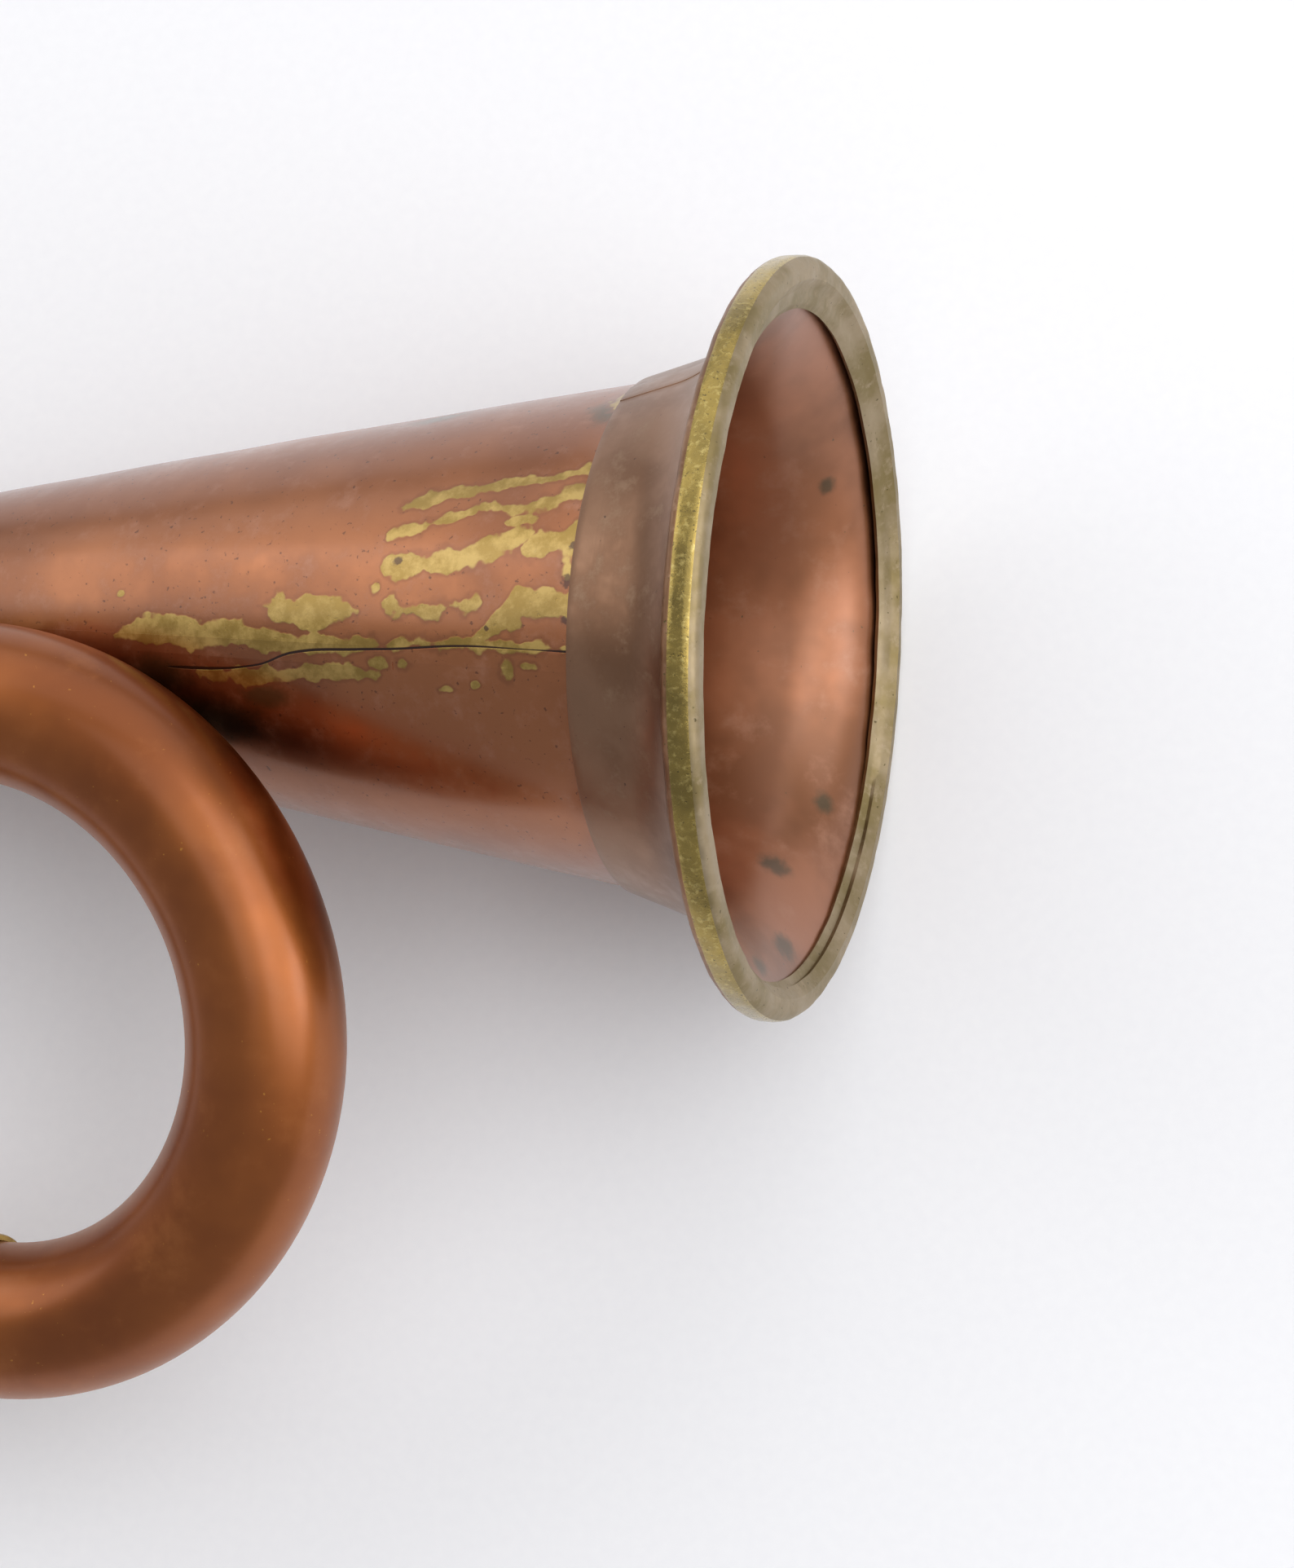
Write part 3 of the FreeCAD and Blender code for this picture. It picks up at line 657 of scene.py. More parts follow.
@dataclass(frozen=True)
class BellCopper:
    """Thin copper sheet, rolled, brazed along its seam, hammered and left to age.

    To the eye it is warm brown with a pinkish sheen, pitted, and streaked with gold where
    spelter ran out of the seam.
    """

    name: str = "rolled_copper_aged"
    body: str = "#a4663e"
    deep: str = "#86502f"
    pale: str = "#b8846a"
    pit: str = "#43251a"
    spelter: str = "#997c35"
    spelter_bright: str = "#c2a35a"
    seam: str = "#33190f"
    # dark olive, for the tarnish patches and for the painted shade beside the front bow
    verdigris_and_shade: str = "#4a4228"
    roughness: float = 0.34
    coat: float = 0.75
    streaks: tuple[Streak, ...] = (
        Streak(
            (
                (21.5, 35.0, 1.0), (27.6, 33.4, 0.35), (35.6, 32.3, 0.45), (41.6, 31.5, 0.9),
                (45.7, 30.6, 1.15), (50.0, 28.9, 0.8), (53.0, 28.0, 0.3),
            )
        ),
        Streak(
            (
                (22.0, 28.4, 1.4), (25.0, 27.8, 1.3), (31.0, 26.0, 1.1), (36.0, 25.4, 0.9),
                (38.6, 26.6, 0.5), (43.7, 24.0, 0.7), (47.5, 22.6, 0.85), (53.5, 20.8, 0.5),
            )
        ),
        Streak(((31.0, 22.4, 0.3), (33.0, 22.3, 0.7), (35.0, 21.8, 0.4))),
        Streak(
            (
                (31.2, 19.0, 0.6), (33.0, 18.2, 1.6), (36.5, 15.6, 1.7), (40.0, 13.6, 1.6),
                (44.0, 13.0, 1.6), (48.4, 12.4, 1.3), (51.0, 12.0, 1.9), (53.6, 12.0, 0.9),
            )
        ),
        Streak(
            (
                (22.0, 18.6, 2.4), (25.0, 18.2, 1.7), (26.8, 17.0, 0.9), (29.0, 15.8, 1.7),
                (31.4, 15.6, 1.0),
            )
        ),
        Streak(
            (
                (38.0, 3.3, 0.4), (40.4, 2.9, 0.7), (42.4, 2.4, 0.3), (43.6, 1.6, 0.9),
                (46.6, 1.5, 0.9), (48.0, 1.2, 0.2), (49.2, 0.6, 0.9), (51.2, 2.0, 1.1),
                (53.0, 3.0, 0.4),
            )
        ),
        Streak(
            (
                (22.0, 2.2, 2.2), (25.0, 2.2, 2.0), (28.0, 3.6, 1.9), (31.0, 3.2, 2.3),
                (33.6, 1.0, 2.2), (35.6, -2.0, 1.4), (37.4, -4.4, 0.9), (38.6, -5.4, 0.4),
            )
        ),
        Streak(
            (
                (57.5, 1.0, 0.6), (61.0, 1.2, 1.6), (65.4, 0.2, 2.2), (70.0, 1.0, 1.8),
                (73.5, 1.8, 0.5),
            )
        ),
        Streak(
            (
                (54.0, -14.8, 0.4), (62.5, -15.1, 1.1), (70.6, -16.7, 1.1), (76.0, -18.0, 1.0),
                (85.6, -18.4, 0.5),
            )
        ),
        Streak(
            (
                (24.0, -6.2, 0.35), (32.0, -6.2, 0.5), (38.0, -6.0, 0.6), (46.0, -6.3, 0.55),
                (52.0, -7.2, 0.6), (60.0, -7.6, 0.9), (68.0, -8.0, 1.3), (77.0, -6.7, 1.8),
                (85.0, -7.0, 2.0), (95.0, -6.0, 2.0), (99.0, -8.5, 1.0),
            )
        ),
    )
    seam_line: Streak = Streak(
        (
            (20.0, -6.9, 0.06), (30.0, -6.8, 0.02), (40.6, -6.7, 0.1), (51.9, -8.2, 0.12),
            (57.1, -8.7, 0.14), (68.3, -10.6, 0.14), (74.5, -14.7, 0.1), (90.0, -17.5, 0.04),
        )
    )
    specks: tuple[Smudge, ...] = (
        Smudge(54.0, -11.6, 1.6, 0.8),
        Smudge(50.0, -11.8, 1.0, 0.7),
        Smudge(33.2, -11.6, 0.9, 1.1),
        Smudge(30.0, -10.4, 1.0, 0.5),
        Smudge(42.4, -17.0, 1.0, 0.5),
        Smudge(38.4, -15.5, 0.6, 0.4),
        Smudge(32.2, -1.5, 1.0, 1.3),
        Smudge(24.6, 9.5, 0.9, 1.3),
        Smudge(24.5, 15.0, 1.2, 2.2),
        Smudge(54.5, 7.0, 0.6, 0.7),
        Smudge(98.5, 5.6, 0.5, 0.4),
        Smudge(24.0, 60.0, 1.6, 2.6),
    )
    holes: tuple[Smudge, ...] = (
        Smudge(51.6, 13.4, 0.75, 0.6),
        Smudge(36.5, -2.6, 0.35, 0.35),
        Smudge(24.4, 8.0, 0.9, 0.9),
        Smudge(24.2, 15.5, 0.6, 0.6),
        Smudge(24.3, -0.5, 0.7, 0.5),
    )
    # the first three patches, towards the coil, are painted shade between the bell and the front
    # bow; the last two are tarnish
    tarnish_and_shade: tuple[Smudge, ...] = (
        Smudge(92.5, -20.5, 7.0, 3.0),
        Smudge(82.5, -33.0, 9.0, 4.0),
        Smudge(73.5, -23.7, 5.0, 2.0),
        Smudge(54.7, 70.0, 5.0, 3.0),
        Smudge(25.0, 55.0, 4.0, 4.0),
    )

    def spelter_distance(
        self, graph: Graph, at: dict[str, bpy.types.NodeSocket], marks: SeamMarks
    ) -> bpy.types.Node:
        """Return the distance outside the nearest spelter, in mm, with a ragged edge."""
        runs = marks.nearest(graph, [marks.trace(graph, at, streak) for streak in self.streaks])
        dots = marks.nearest(graph, [marks.patch(graph, at, smudge) for smudge in self.specks])
        dots = graph.add(Kind.MATH, {0: dots, 1: 1.0}, operation="SUBTRACT")
        runs = graph.add(Kind.MATH, {0: runs, 1: dots}, operation="MINIMUM")
        # the edge wanders by up to 1 mm in lobes about 3 mm long
        lobes = graph.add(
            Kind.NOISE, {"Vector": at["point"], "Scale": 1 / 3.0, "Detail": 2.0, "Roughness": 0.5}
        )
        wander = graph.add(
            Kind.RANGE,
            {"Value": lobes, "From Min": 0.25, "From Max": 0.75, "To Min": -0.9, "To Max": 1.1},
        )
        return graph.add(Kind.MATH, {0: runs, 1: wander}, operation="ADD")

    def build(self, lie: Matrix) -> bpy.types.Material:
        """Return the material."""
        graph = Graph(self.name, lie)
        at = graph.places()
        marks = SeamMarks()
        # wide clouds of oxide, about 40 mm across, and a mottle of 5 mm
        clouds = graph.add(
            Kind.NOISE, {"Vector": at["point"], "Scale": 1 / 40, "Detail": 3.0, "Roughness": 0.55}
        )
        mottle = graph.add(
            Kind.NOISE, {"Vector": at["point"], "Scale": 1 / 5, "Detail": 6.0, "Roughness": 0.68}
        )
        # pits about 0.8 mm across
        pits = graph.add(Kind.NOISE, {"Vector": at["point"], "Scale": 1 / 0.8, "Detail": 2.0})
        tone, _ = graph.blend(colour(self.body), colour(self.deep), clouds, (0.42, 0.66, 0.8))
        tone, _ = graph.blend(tone, colour(self.pale), mottle, (0.5, 0.8, 0.5))
        tone, pitted = graph.blend(tone, colour(self.pit), pits, (0.66, 0.74, 0.6))
        # tarnish in soft patches with a mottled edge; the three patches towards the coil, 73 to
        # 93 mm back, are painted shade where the front bow lies close to the bell
        patches = marks.nearest(graph, [marks.patch(graph, at, spot) for spot in self.tarnish_and_shade])
        patches = graph.add(Kind.MATH, {0: mottle, 1: 1.6, 2: patches}, operation="MULTIPLY_ADD")
        tone, _ = graph.blend(tone, colour(self.verdigris_and_shade), patches, (2.1, 1.1, 0.75))
        # spelter, with a darker rim of scale round it
        runs = self.spelter_distance(graph, at, marks)
        gold, _ = graph.blend(
            colour(self.spelter), colour(self.spelter_bright), mottle, (0.4, 0.64, 1.0)
        )
        tone, _ = graph.blend(tone, colour(self.deep), runs, (1.1, 0.3, 0.6))
        tone, spelter = graph.blend(tone, gold, runs, (0.35, -0.1, 0.95))
        holes = marks.nearest(graph, [marks.patch(graph, at, spot) for spot in self.holes])
        holes = graph.add(Kind.MATH, {0: pits, 1: 2.4, 2: holes}, operation="MULTIPLY_ADD")
        tone, burnt = graph.blend(tone, colour(self.pit), holes, (2.5, 1.8, 0.8))
        seam = marks.trace(graph, at, self.seam_line)
        tone, seam_mask = graph.blend(tone, colour(self.seam), seam, (0.12, 0.0, 1.0))
        height = graph.add(Kind.MATH, {0: spelter, 1: 0.5, 2: mottle}, operation="MULTIPLY_ADD")
        for sunk, depth in ((pitted, -0.8), (burnt, -0.8), (seam_mask, -1.2)):
            height = graph.add(
                Kind.MATH, {0: sunk, 1: depth, 2: height}, operation="MULTIPLY_ADD"
            )
        rough = graph.add(
            Kind.RANGE,
            {
                "Value": mottle,
                "From Min": 0.3,
                "From Max": 0.7,
                "To Min": self.roughness - 0.06,
                "To Max": self.roughness + 0.1,
            },
        )
        shader = {
            "Base Color": tone,
            "Metallic": 1.0,
            "Roughness": rough,
            "Coat Weight": self.coat,
            "Coat Roughness": 0.2,
            "Normal": graph.add(
                Kind.BUMP, {"Height": height, "Strength": 0.5, "Distance": 0.05 * MM}
            ),
        }
        return graph.close(graph.add(Kind.SHADER, shader))


@dataclass(frozen=True)
class WornMetal:
    """A metal with clouds, a fine grain and specks, described by its sizes.

    Each finish below names the real metal that it stands for.
    """

    name: str
    body: str
    deep: str
    pale: str
    speck: str
    cloud: float = 18.0
    grain: float = 3.0
    speck_size: float = 0.6
    speck_share: float = 0.66
    speck_edge: float = 0.07
    roughness: float = 0.35
    rough_spread: float = 0.08
    relief: float = 0.03
    lines: float = 0.0
    smudges: tuple[Smudge, ...] = ()
    coat: float = 0.0
    coat_roughness: float = 0.3
    coat_tint: str = "#ffffff"

    def build(self, lie: Matrix) -> bpy.types.Material:
        """Return the material."""
        graph = Graph(self.name, lie)
        at = graph.places()
        clouds = graph.add(
            Kind.NOISE,
            {"Vector": at["point"], "Scale": 1 / self.cloud, "Detail": 4.0, "Roughness": 0.6},
        )
        grain = graph.add(
            Kind.NOISE,
            {"Vector": at["point"], "Scale": 1 / self.grain, "Detail": 6.0, "Roughness": 0.66},
        )
        specks = graph.add(
            Kind.NOISE,
            {"Vector": at["point"], "Scale": 1 / self.speck_size, "Detail": 2.0},
        )
        tone, _ = graph.blend(colour(self.body), colour(self.deep), clouds, (0.36, 0.64, 1.0))
        tone, _ = graph.blend(tone, colour(self.pale), grain, (0.5, 0.75, 0.6))
        edges = (self.speck_share, self.speck_share + self.speck_edge, 0.8)
        tone, speck_mask = graph.blend(tone, colour(self.speck), specks, edges)
        if self.smudges:
            # soft stains with a mottled edge
            marks = SeamMarks()
            stains = marks.nearest(graph, [marks.patch(graph, at, spot) for spot in self.smudges])
            stains = graph.add(
                Kind.MATH, {0: specks, 1: 0.8, 2: stains}, operation="MULTIPLY_ADD"
            )
            tone, _ = graph.blend(tone, colour(self.speck), stains, (1.7, 0.7, 0.75))
        height = graph.add(
            Kind.MATH, {0: speck_mask, 1: -0.7, 2: grain}, operation="MULTIPLY_ADD"
        )
        rough = graph.add(
            Kind.RANGE,
            {
                "Value": grain,
                "From Min": 0.3,
                "From Max": 0.7,
                "To Min": self.roughness - self.rough_spread,
                "To Max": self.roughness + self.rough_spread,
            },
        )
        if self.lines:
            # tool marks round the piece, as far apart as the lines' spacing
            apart = graph.add(
                Kind.MATH, {0: at["x"], 1: 1 / self.lines}, operation="MULTIPLY"
            )
            cuts = graph.add(
                Kind.NOISE,
                {"Vector": graph.add(Kind.JOIN, {"X": apart}), "Scale": 1.0, "Detail": 3.0},
            )
            height = graph.add(
                Kind.MATH, {0: cuts, 1: 0.8, 2: height}, operation="MULTIPLY_ADD"
            )
        shader = {
            "Base Color": tone,
            "Metallic": 1.0,
            "Roughness": rough,
            "Normal": graph.add(
                Kind.BUMP,
                {"Height": height, "Strength": 0.5, "Distance": self.relief * MM},
            ),
        }
        if self.coat:
            shader |= {
                "Coat Weight": self.coat,
                "Coat Roughness": self.coat_roughness,
                "Coat Tint": colour(self.coat_tint),
            }
        return graph.close(graph.add(Kind.SHADER, shader))


# the inside of the bell: copper sheet wiped clean of dust, duller than outside
BELL_INSIDE = WornMetal(
    name="copper_sheet_inside",
    body="#a46844",
    deep="#82502e",
    pale="#b48164",
    speck="#3c3a22",
    cloud=30.0,
    grain=9.0,
    speck_size=1.2,
    speck_share=0.74,
    roughness=0.46,
    coat=0.9,
    coat_roughness=0.3,
    smudges=(
        Smudge(7.3, -148.0, 1.4, 2.0),
        Smudge(11.0, -126.0, 2.6, 2.2),
        Smudge(5.2, -104.0, 1.5, 3.4),
        Smudge(8.4, 142.0, 1.2, 1.6),
        Smudge(4.6, -86.0, 0.9, 3.0),
    ),
)
# spun copper band, brushed round and darkened by polish left on it: brown, with fine lines
GARLAND_COPPER = WornMetal(
    name="spun_copper_brushed",
    body="#926e55",
    deep="#7a573f",
    pale="#a08268",
    speck="#4a342c",
    cloud=16.0,
    grain=4.0,
    speck_size=0.9,
    speck_share=0.72,
    roughness=0.36,
    lines=0.35,
    coat=0.35,
)
# drawn copper tube under old amber lacquer: even, satin, orange at the edges
COIL_COPPER = WornMetal(
    name="drawn_copper_lacquered",
    body="#9f6634",
    deep="#8a5429",
    pale="#ae7848",
    speck="#c79a4a",
    cloud=40.0,
    grain=12.0,
    speck_size=0.8,
    speck_share=0.72,
    roughness=0.42,
    relief=0.02,
    coat=0.55,
    coat_roughness=0.24,
    coat_tint="#f4bc78",
)
# brass strip folded over the wire and hammered: olive where dull, with pale flecks painted in as
# the glints of its hammered face
RIM_BEAD = WornMetal(
    name="folded_brass_tarnished",
    body="#b0974f",
    deep="#8a763d",
    pale="#e2cd84",
    speck="#5a4c28",
    cloud=12.0,
    grain=0.9,
    speck_size=0.5,
    speck_share=0.64,
    roughness=0.24,
    rough_spread=0.12,
    relief=0.12,
    coat=0.4,
)
# the strip's front leaf, filed flat and left to dull: tan grey with olive in its scratches
RIM_LEAF = WornMetal(
    name="filed_brass_leaf",
    body="#a08f74",
    deep="#84744f",
    pale="#b5a48a",
    speck="#4f4529",
    cloud=12.0,
    grain=2.0,
    speck_size=0.8,
    speck_share=0.68,
    roughness=0.48,
    relief=0.06,
)
# the strip's rear leaf, coppery where its yellow was scoured off
RIM_REAR = WornMetal(
    name="scoured_brass_leaf",
    body="#a07a5c",
    deep="#7c5a40",
    pale="#bd9a80",
    speck="#5c5630",
    cloud=14.0,
    grain=2.0,
    speck_size=0.8,
    speck_share=0.66,
    roughness=0.4,
    relief=0.05,
)
# turned brass, handled: yellow, with tool marks round it
FITTING_BRASS = WornMetal(
    name="turned_brass_handled",
    body="#b8954c",
    deep="#8f6f36",
    pale="#d2b36c",
    speck="#57421f",
    cloud=8.0,
    grain=1.6,
    speck_size=0.5,
    speck_share=0.68,
    roughness=0.28,
    lines=0.3,
)
# brass wire, rubbed bright by the sling
RING_BRASS = WornMetal(
    name="drawn_brass_wire",
    body="#bd9a52",
    deep="#94743a",
    pale="#d8bb76",
    speck="#5a4422",
    cloud=5.0,
    grain=1.2,
    speck_size=0.4,
    roughness=0.26,
)
# brass polished by lips and hands, the brightest piece
MOUTHPIECE_BRASS = WornMetal(
    name="polished_brass_mouthpiece",
    body="#c4a45a",
    deep="#a3813f",
    pale="#dcc483",
    speck="#6b5227",
    cloud=9.0,
    grain=2.0,
    speck_size=0.5,
    speck_share=0.7,
    roughness=0.2,
    lines=0.4,
)
# tin-lead solder, set dull and lumpy
SOFT_SOLDER = WornMetal(
    name="tin_lead_solder",
    body="#8f8b84",
    deep="#6a665f",
    pale="#aba79f",
    speck="#4a4640",
    cloud=3.0,
    grain=0.8,
    speck_size=0.4,
    roughness=0.45,
    relief=0.06,
)
# iron wire with a skin of rust
RIM_WIRE_IRON = WornMetal(
    name="iron_wire_rusted",
    body="#5a4c44",
    deep="#4a2f22",
    pale="#756458",
    speck="#6e3c20",
    cloud=6.0,
    grain=1.0,
    speck_size=0.4,
    roughness=0.55,
    relief=0.05,
)


def dress(piece: bpy.types.Object, *finishes: bpy.types.Material) -> None:
    """Put finishes in a piece's material slots, in order."""
    piece.data.materials.clear()
    for finish in finishes:
        piece.data.materials.append(finish)


# ------------------------------------------------------------------ bell


@dataclass
class Bell:
    """The brazed cone, the garland over its flare, and the binding on its edge."""

    bench: Bench
    flare_place: float = 20.6
    flare_ring: float = 57.6
    flare_start: float = 72.8
    flare_end: float = 19.4
    garland_round: float = 17.7
    garland_rear: float = 23.8
    garland_rear_radius: float = 38.05
    sheet: float = 0.7
    tail_place: float = 177.0
    joint: float = 185.0
    tail_radius: float = 12.0
    crown: float = 5500.0
    lap_width: float = 3.0
    lap_height: float = 0.07
    garland_lap: float = 0.1
    lap_edge: float = -7.0
    garland_lap_span: Point = (57.0, 64.0)
    garland_lap_front: float = 8.0
    cone_dents: Point = (0.35, 22.0)
    leaf_dents: Point = (0.9, 9.0)
    bead_dents: Point = (0.22, 4.0)
    bead_inside: float = 50.2
    leaf_outside: float = 51.75
    rear_leaf_front: float = 3.9
    leaf_shift: tuple[float, float, float] = (0.0, 0.9, 0.0)
    leaf_tilt: float = 0.3

    def on_flare(self, radius: float, angle: float) -> Point:
        """Return the point on the flare's arc of one radius, at one angle."""
        turn = math.radians(angle)
        return (
            self.flare_place - radius * math.cos(turn),
            self.flare_ring - radius * math.sin(turn),
        )

    def flare(self, radius: float, forwards: bool, count: int) -> list[Point]:
        """Return the points of the flare's arc of one radius, ends included.

        Args:
            radius: the arc's radius.
            forwards: True to run from its narrow end to the rim.
            count: how many points.
        """
        ends = (self.flare_start, self.flare_end)
        first, last = ends if forwards else ends[::-1]
        return [
            self.on_flare(radius, first + (last - first) * step / (count - 1))
            for step in range(count)
        ]

    def rear_radius(self, depth: float) -> float:
        """Return a sheet's radius at the garland's rear edge, at a depth below its outside."""
        return self.garland_rear_radius - depth / math.sin(math.radians(self.flare_start))

    def build_cone(self) -> bpy.types.Object:
        """Model the bell sheet, with the lap of its seam."""
        outside = self.garland_round + self.sheet + GAP
        inside = outside + self.sheet
        rear = (self.garland_rear, self.rear_radius(self.sheet + GAP))
        rear_inside = (self.garland_rear, self.rear_radius(2 * self.sheet + GAP))
        tail = (self.tail_place, self.tail_radius)
        tail_inside = (self.tail_place, self.tail_radius - self.sheet)
        outline = [
            *self.flare(outside, False, 22),
            rear,
            *arc(rear, tail, self.crown, 60),
            tail,
            (self.joint, self.tail_radius),
            (self.joint, self.tail_radius - self.sheet),
            tail_inside,
            *arc(tail_inside, rear_inside, -self.crown, 40),
            rear_inside,
            *self.flare(inside, True, 22),
        ]
        piece = self.bench.lathe("bell_cone_sheet", outline, steps=192)
        self.raise_lap(piece)
        self.bench.group(
            piece,
            "cone",
            lambda spot, _: self.garland_rear + 3 < spot.x < self.tail_place - 4,
        )
        self.bench.dent(piece, *self.cone_dents, "cone")
        return piece

    def raise_lap(self, piece: bpy.types.Object) -> None:
        """Lift the strip of the seam, where one edge of the sheet laps over the other."""
        self.bench.hold(piece)
        bpy.ops.object.mode_set(mode="EDIT")
        edge = math.radians(self.lap_edge)

        def in_lap(spot: Vector, normal: Vector) -> bool:
            """Tell whether a face lies in the lap, on the outside."""
            radius = math.hypot(spot.y, spot.z)
            off = (math.atan2(-spot.y, spot.z) - edge) * radius
            outward = normal.y * spot.y + normal.z * spot.z > 0
            along = self.garland_rear < spot.x < self.tail_place
            return outward and along and -self.lap_width < off < 0

        self.bench.pick(in_lap)
        bpy.ops.mesh.extrude_region_shrink_fatten(
            TRANSFORM_OT_shrink_fatten={"value": self.lap_height * MM}
        )
        bpy.ops.object.mode_set(mode="OBJECT")

    def build_garland(self) -> bpy.types.Object:
        """Model the band over the flare, with its rolled rear edge and its own lap."""
        under = self.garland_round + self.sheet
        rear = (self.garland_rear, self.garland_rear_radius)
        rear_inside = (self.garland_rear, self.rear_radius(self.sheet))
        outline = [
            *self.flare(self.garland_round, False, 30),
            *run(self.on_flare(self.garland_round, self.flare_start), rear, 6),
            rear,
            rear_inside,
            *self.flare(under, True, 22),
        ]
        piece = self.bench.lathe("garland_band", outline, steps=192)
        self.bench.hold(piece)
        bpy.ops.object.mode_set(mode="EDIT")

        def in_lap(spot: Vector, normal: Vector) -> bool:
            """Tell whether a face lies in the garland's own lap, on the outside."""
            angle = math.degrees(math.atan2(-spot.y, spot.z))
            outward = normal.y * spot.y + normal.z * spot.z > 0
            low, high = self.garland_lap_span
            return outward and low < angle < high and spot.x > self.garland_lap_front

        self.bench.pick(in_lap)
        bpy.ops.mesh.extrude_region_shrink_fatten(
            TRANSFORM_OT_shrink_fatten={"value": self.garland_lap * MM}
        )
        bpy.ops.object.mode_set(mode="OBJECT")
        self.bench.soften(piece, 0.12, 50)
        return piece

    def on_leaf(self, radius: float, place: float) -> Point:
        """Return the point on the rear leaf's arc of one radius, at one place."""
        reach = math.sqrt(radius**2 - (self.flare_place - place) ** 2)
        return (place, self.flare_ring - reach)

    def build_rim(self) -> bpy.types.Object:
        """Model the binding: a bead round the edge, with a leaf down each side of the sheet."""
        inside = self.garland_round - GAP
        outside = inside - 0.8
        rear_low, rear_high = self.on_leaf(outside, 7.3), self.on_leaf(outside, 5.2)
        under_low, under_high = self.on_leaf(inside, 6.7), self.on_leaf(inside, 4.4)
        outline = [
            (0, 51.6),
            (0, 53),
            *arc((0, 53), (2, 55), 2, 8),
            (2, 55),
            (3.2, 55),
            *arc((3.2, 55), (5.2, 53), 2, 8),
            (5.2, 53),
            *run((5.2, 53), rear_high, 2),
            rear_high,
            *arc(rear_high, rear_low, -outside, 6),
            rear_low,
            under_low,
            *arc(under_low, under_high, inside, 4),
            under_high,
            (4.4, 53),
            *arc((4.4, 53), (3.2, 54.2), -1.2, 3),
            (3.2, 54.2),
            (2, 54.2),
            *arc((2, 54.2), (0.8, 53), -1.2, 3),
            (0.8, 53),
            (0.8, 51.92),
            (3.2, 48.9),
            (2.6, 48.4),
            *run((2.6, 48.4), (0, 51.6), 5),
        ]
        piece = self.bench.lathe("rim_bound_edge", outline, steps=256)
        self.bench.group(
            piece,
            "leaf_edge",
            lambda spot, _: spot.x < 3 and math.hypot(spot.y, spot.z) < 49.4,
        )
        # the binding sits off centre, so its front leaf is broad on one side and narrow opposite
        self.bench.hold(piece)
        bpy.ops.object.mode_set(mode="EDIT")
        self.bench.pick(
            lambda spot, _: spot.x < 3.4 and math.hypot(spot.y, spot.z) < 49.2
        )
        bpy.ops.transform.rotate(
            value=math.radians(self.leaf_tilt),
            orient_axis="Z",
            orient_type="GLOBAL",
            center_override=(2.5 * MM, 0, 0),
        )
        bpy.ops.transform.translate(value=Vector(self.leaf_shift) * MM)
        bpy.ops.object.mode_set(mode="OBJECT")
        self.bench.dent(piece, *self.leaf_dents, "leaf_edge", "Z")
        self.bench.group(
            piece,
            "bead",
            lambda spot, _: math.hypot(spot.y, spot.z) > self.bead_inside and spot.x < 5.3,
        )
        self.bench.dent(piece, *self.bead_dents, "bead")
        return piece

    def build(self, lie: Matrix) -> None:
        """Model the bell's three pieces and dress them."""
        cone = self.build_cone()
        dress(cone, BellCopper().build(lie), BELL_INSIDE.build(lie))
        self.bench.paint(
            cone, 1, lambda spot, normal: normal.y * spot.y + normal.z * spot.z < 0
        )
        self.bench.lay_down(cone, Body.BUGLE, Slot.BELL, ["bell_cone"])
        garland = self.build_garland()
        dress(garland, GARLAND_COPPER.build(lie))
        self.bench.lay_down(garland, Body.BUGLE, Slot.GARLAND, ["bell_garland"])
        rim = self.build_rim()
        dress(rim, *(finish.build(lie) for finish in (RIM_BEAD, RIM_LEAF, RIM_REAR)))
        self.bench.paint(
            rim,
            1,
            lambda spot, _: spot.x < 1 or math.hypot(spot.y, spot.z) < self.leaf_outside,
        )
        self.bench.paint(rim, 2, lambda spot, _: spot.x > self.rear_leaf_front)
        self.bench.lay_down(rim, Body.BUGLE, Slot.RIM, ["rim_binding"])


# ------------------------------------------------------------------ coil


@dataclass(frozen=True)
class Bow:
    """One half-circle bow of the coil, with a short straight at each end."""

    name: str
    node: str
    radius: float
    start: tuple[float, float, float]
    far_side: Point
    towards: float
    straight: float = 7.0
    wall: float = 0.6

    def build(self, bench: Bench) -> bpy.types.Object:
        """Model the bow as a bent tube and give it its wall."""
        start = Vector(self.start) * MM
        along = Vector((self.towards, 0, 0))
        across = (
            Vector((0, self.far_side[0] - self.start[1], self.far_side[1] - self.start[2]))
            * MM
        )
        bend = across.length / 2
        across.normalize()
        bench.clear()
        bpy.ops.mesh.primitive_circle_add(
            vertices=96,
            radius=self.radius * MM,
            fill_type="NOTHING",
            location=start,
            rotation=(0, math.pi / 2, 0),
        )
        piece = bench.named(self.name)
        bpy.ops.object.mode_set(mode="EDIT")
        bpy.ops.mesh.select_mode(type="EDGE")
        bpy.ops.mesh.select_all(action="SELECT")
        step = along * self.straight * MM
        bpy.ops.mesh.extrude_region_move(TRANSFORM_OT_translate={"value": step})
        bpy.ops.mesh.spin(
            steps=72,
            angle=math.pi,
            center=start + step + across * bend,
            axis=across.cross(along),
        )
        bpy.ops.mesh.extrude_region_move(TRANSFORM_OT_translate={"value": -step})
        bench.close_up()
        bench.dent(piece, 0.18, 26)
        bench.finish_with(
            piece, "SOLIDIFY", thickness=self.wall * MM, offset=-1.0, use_rim=True
        )
        return piece


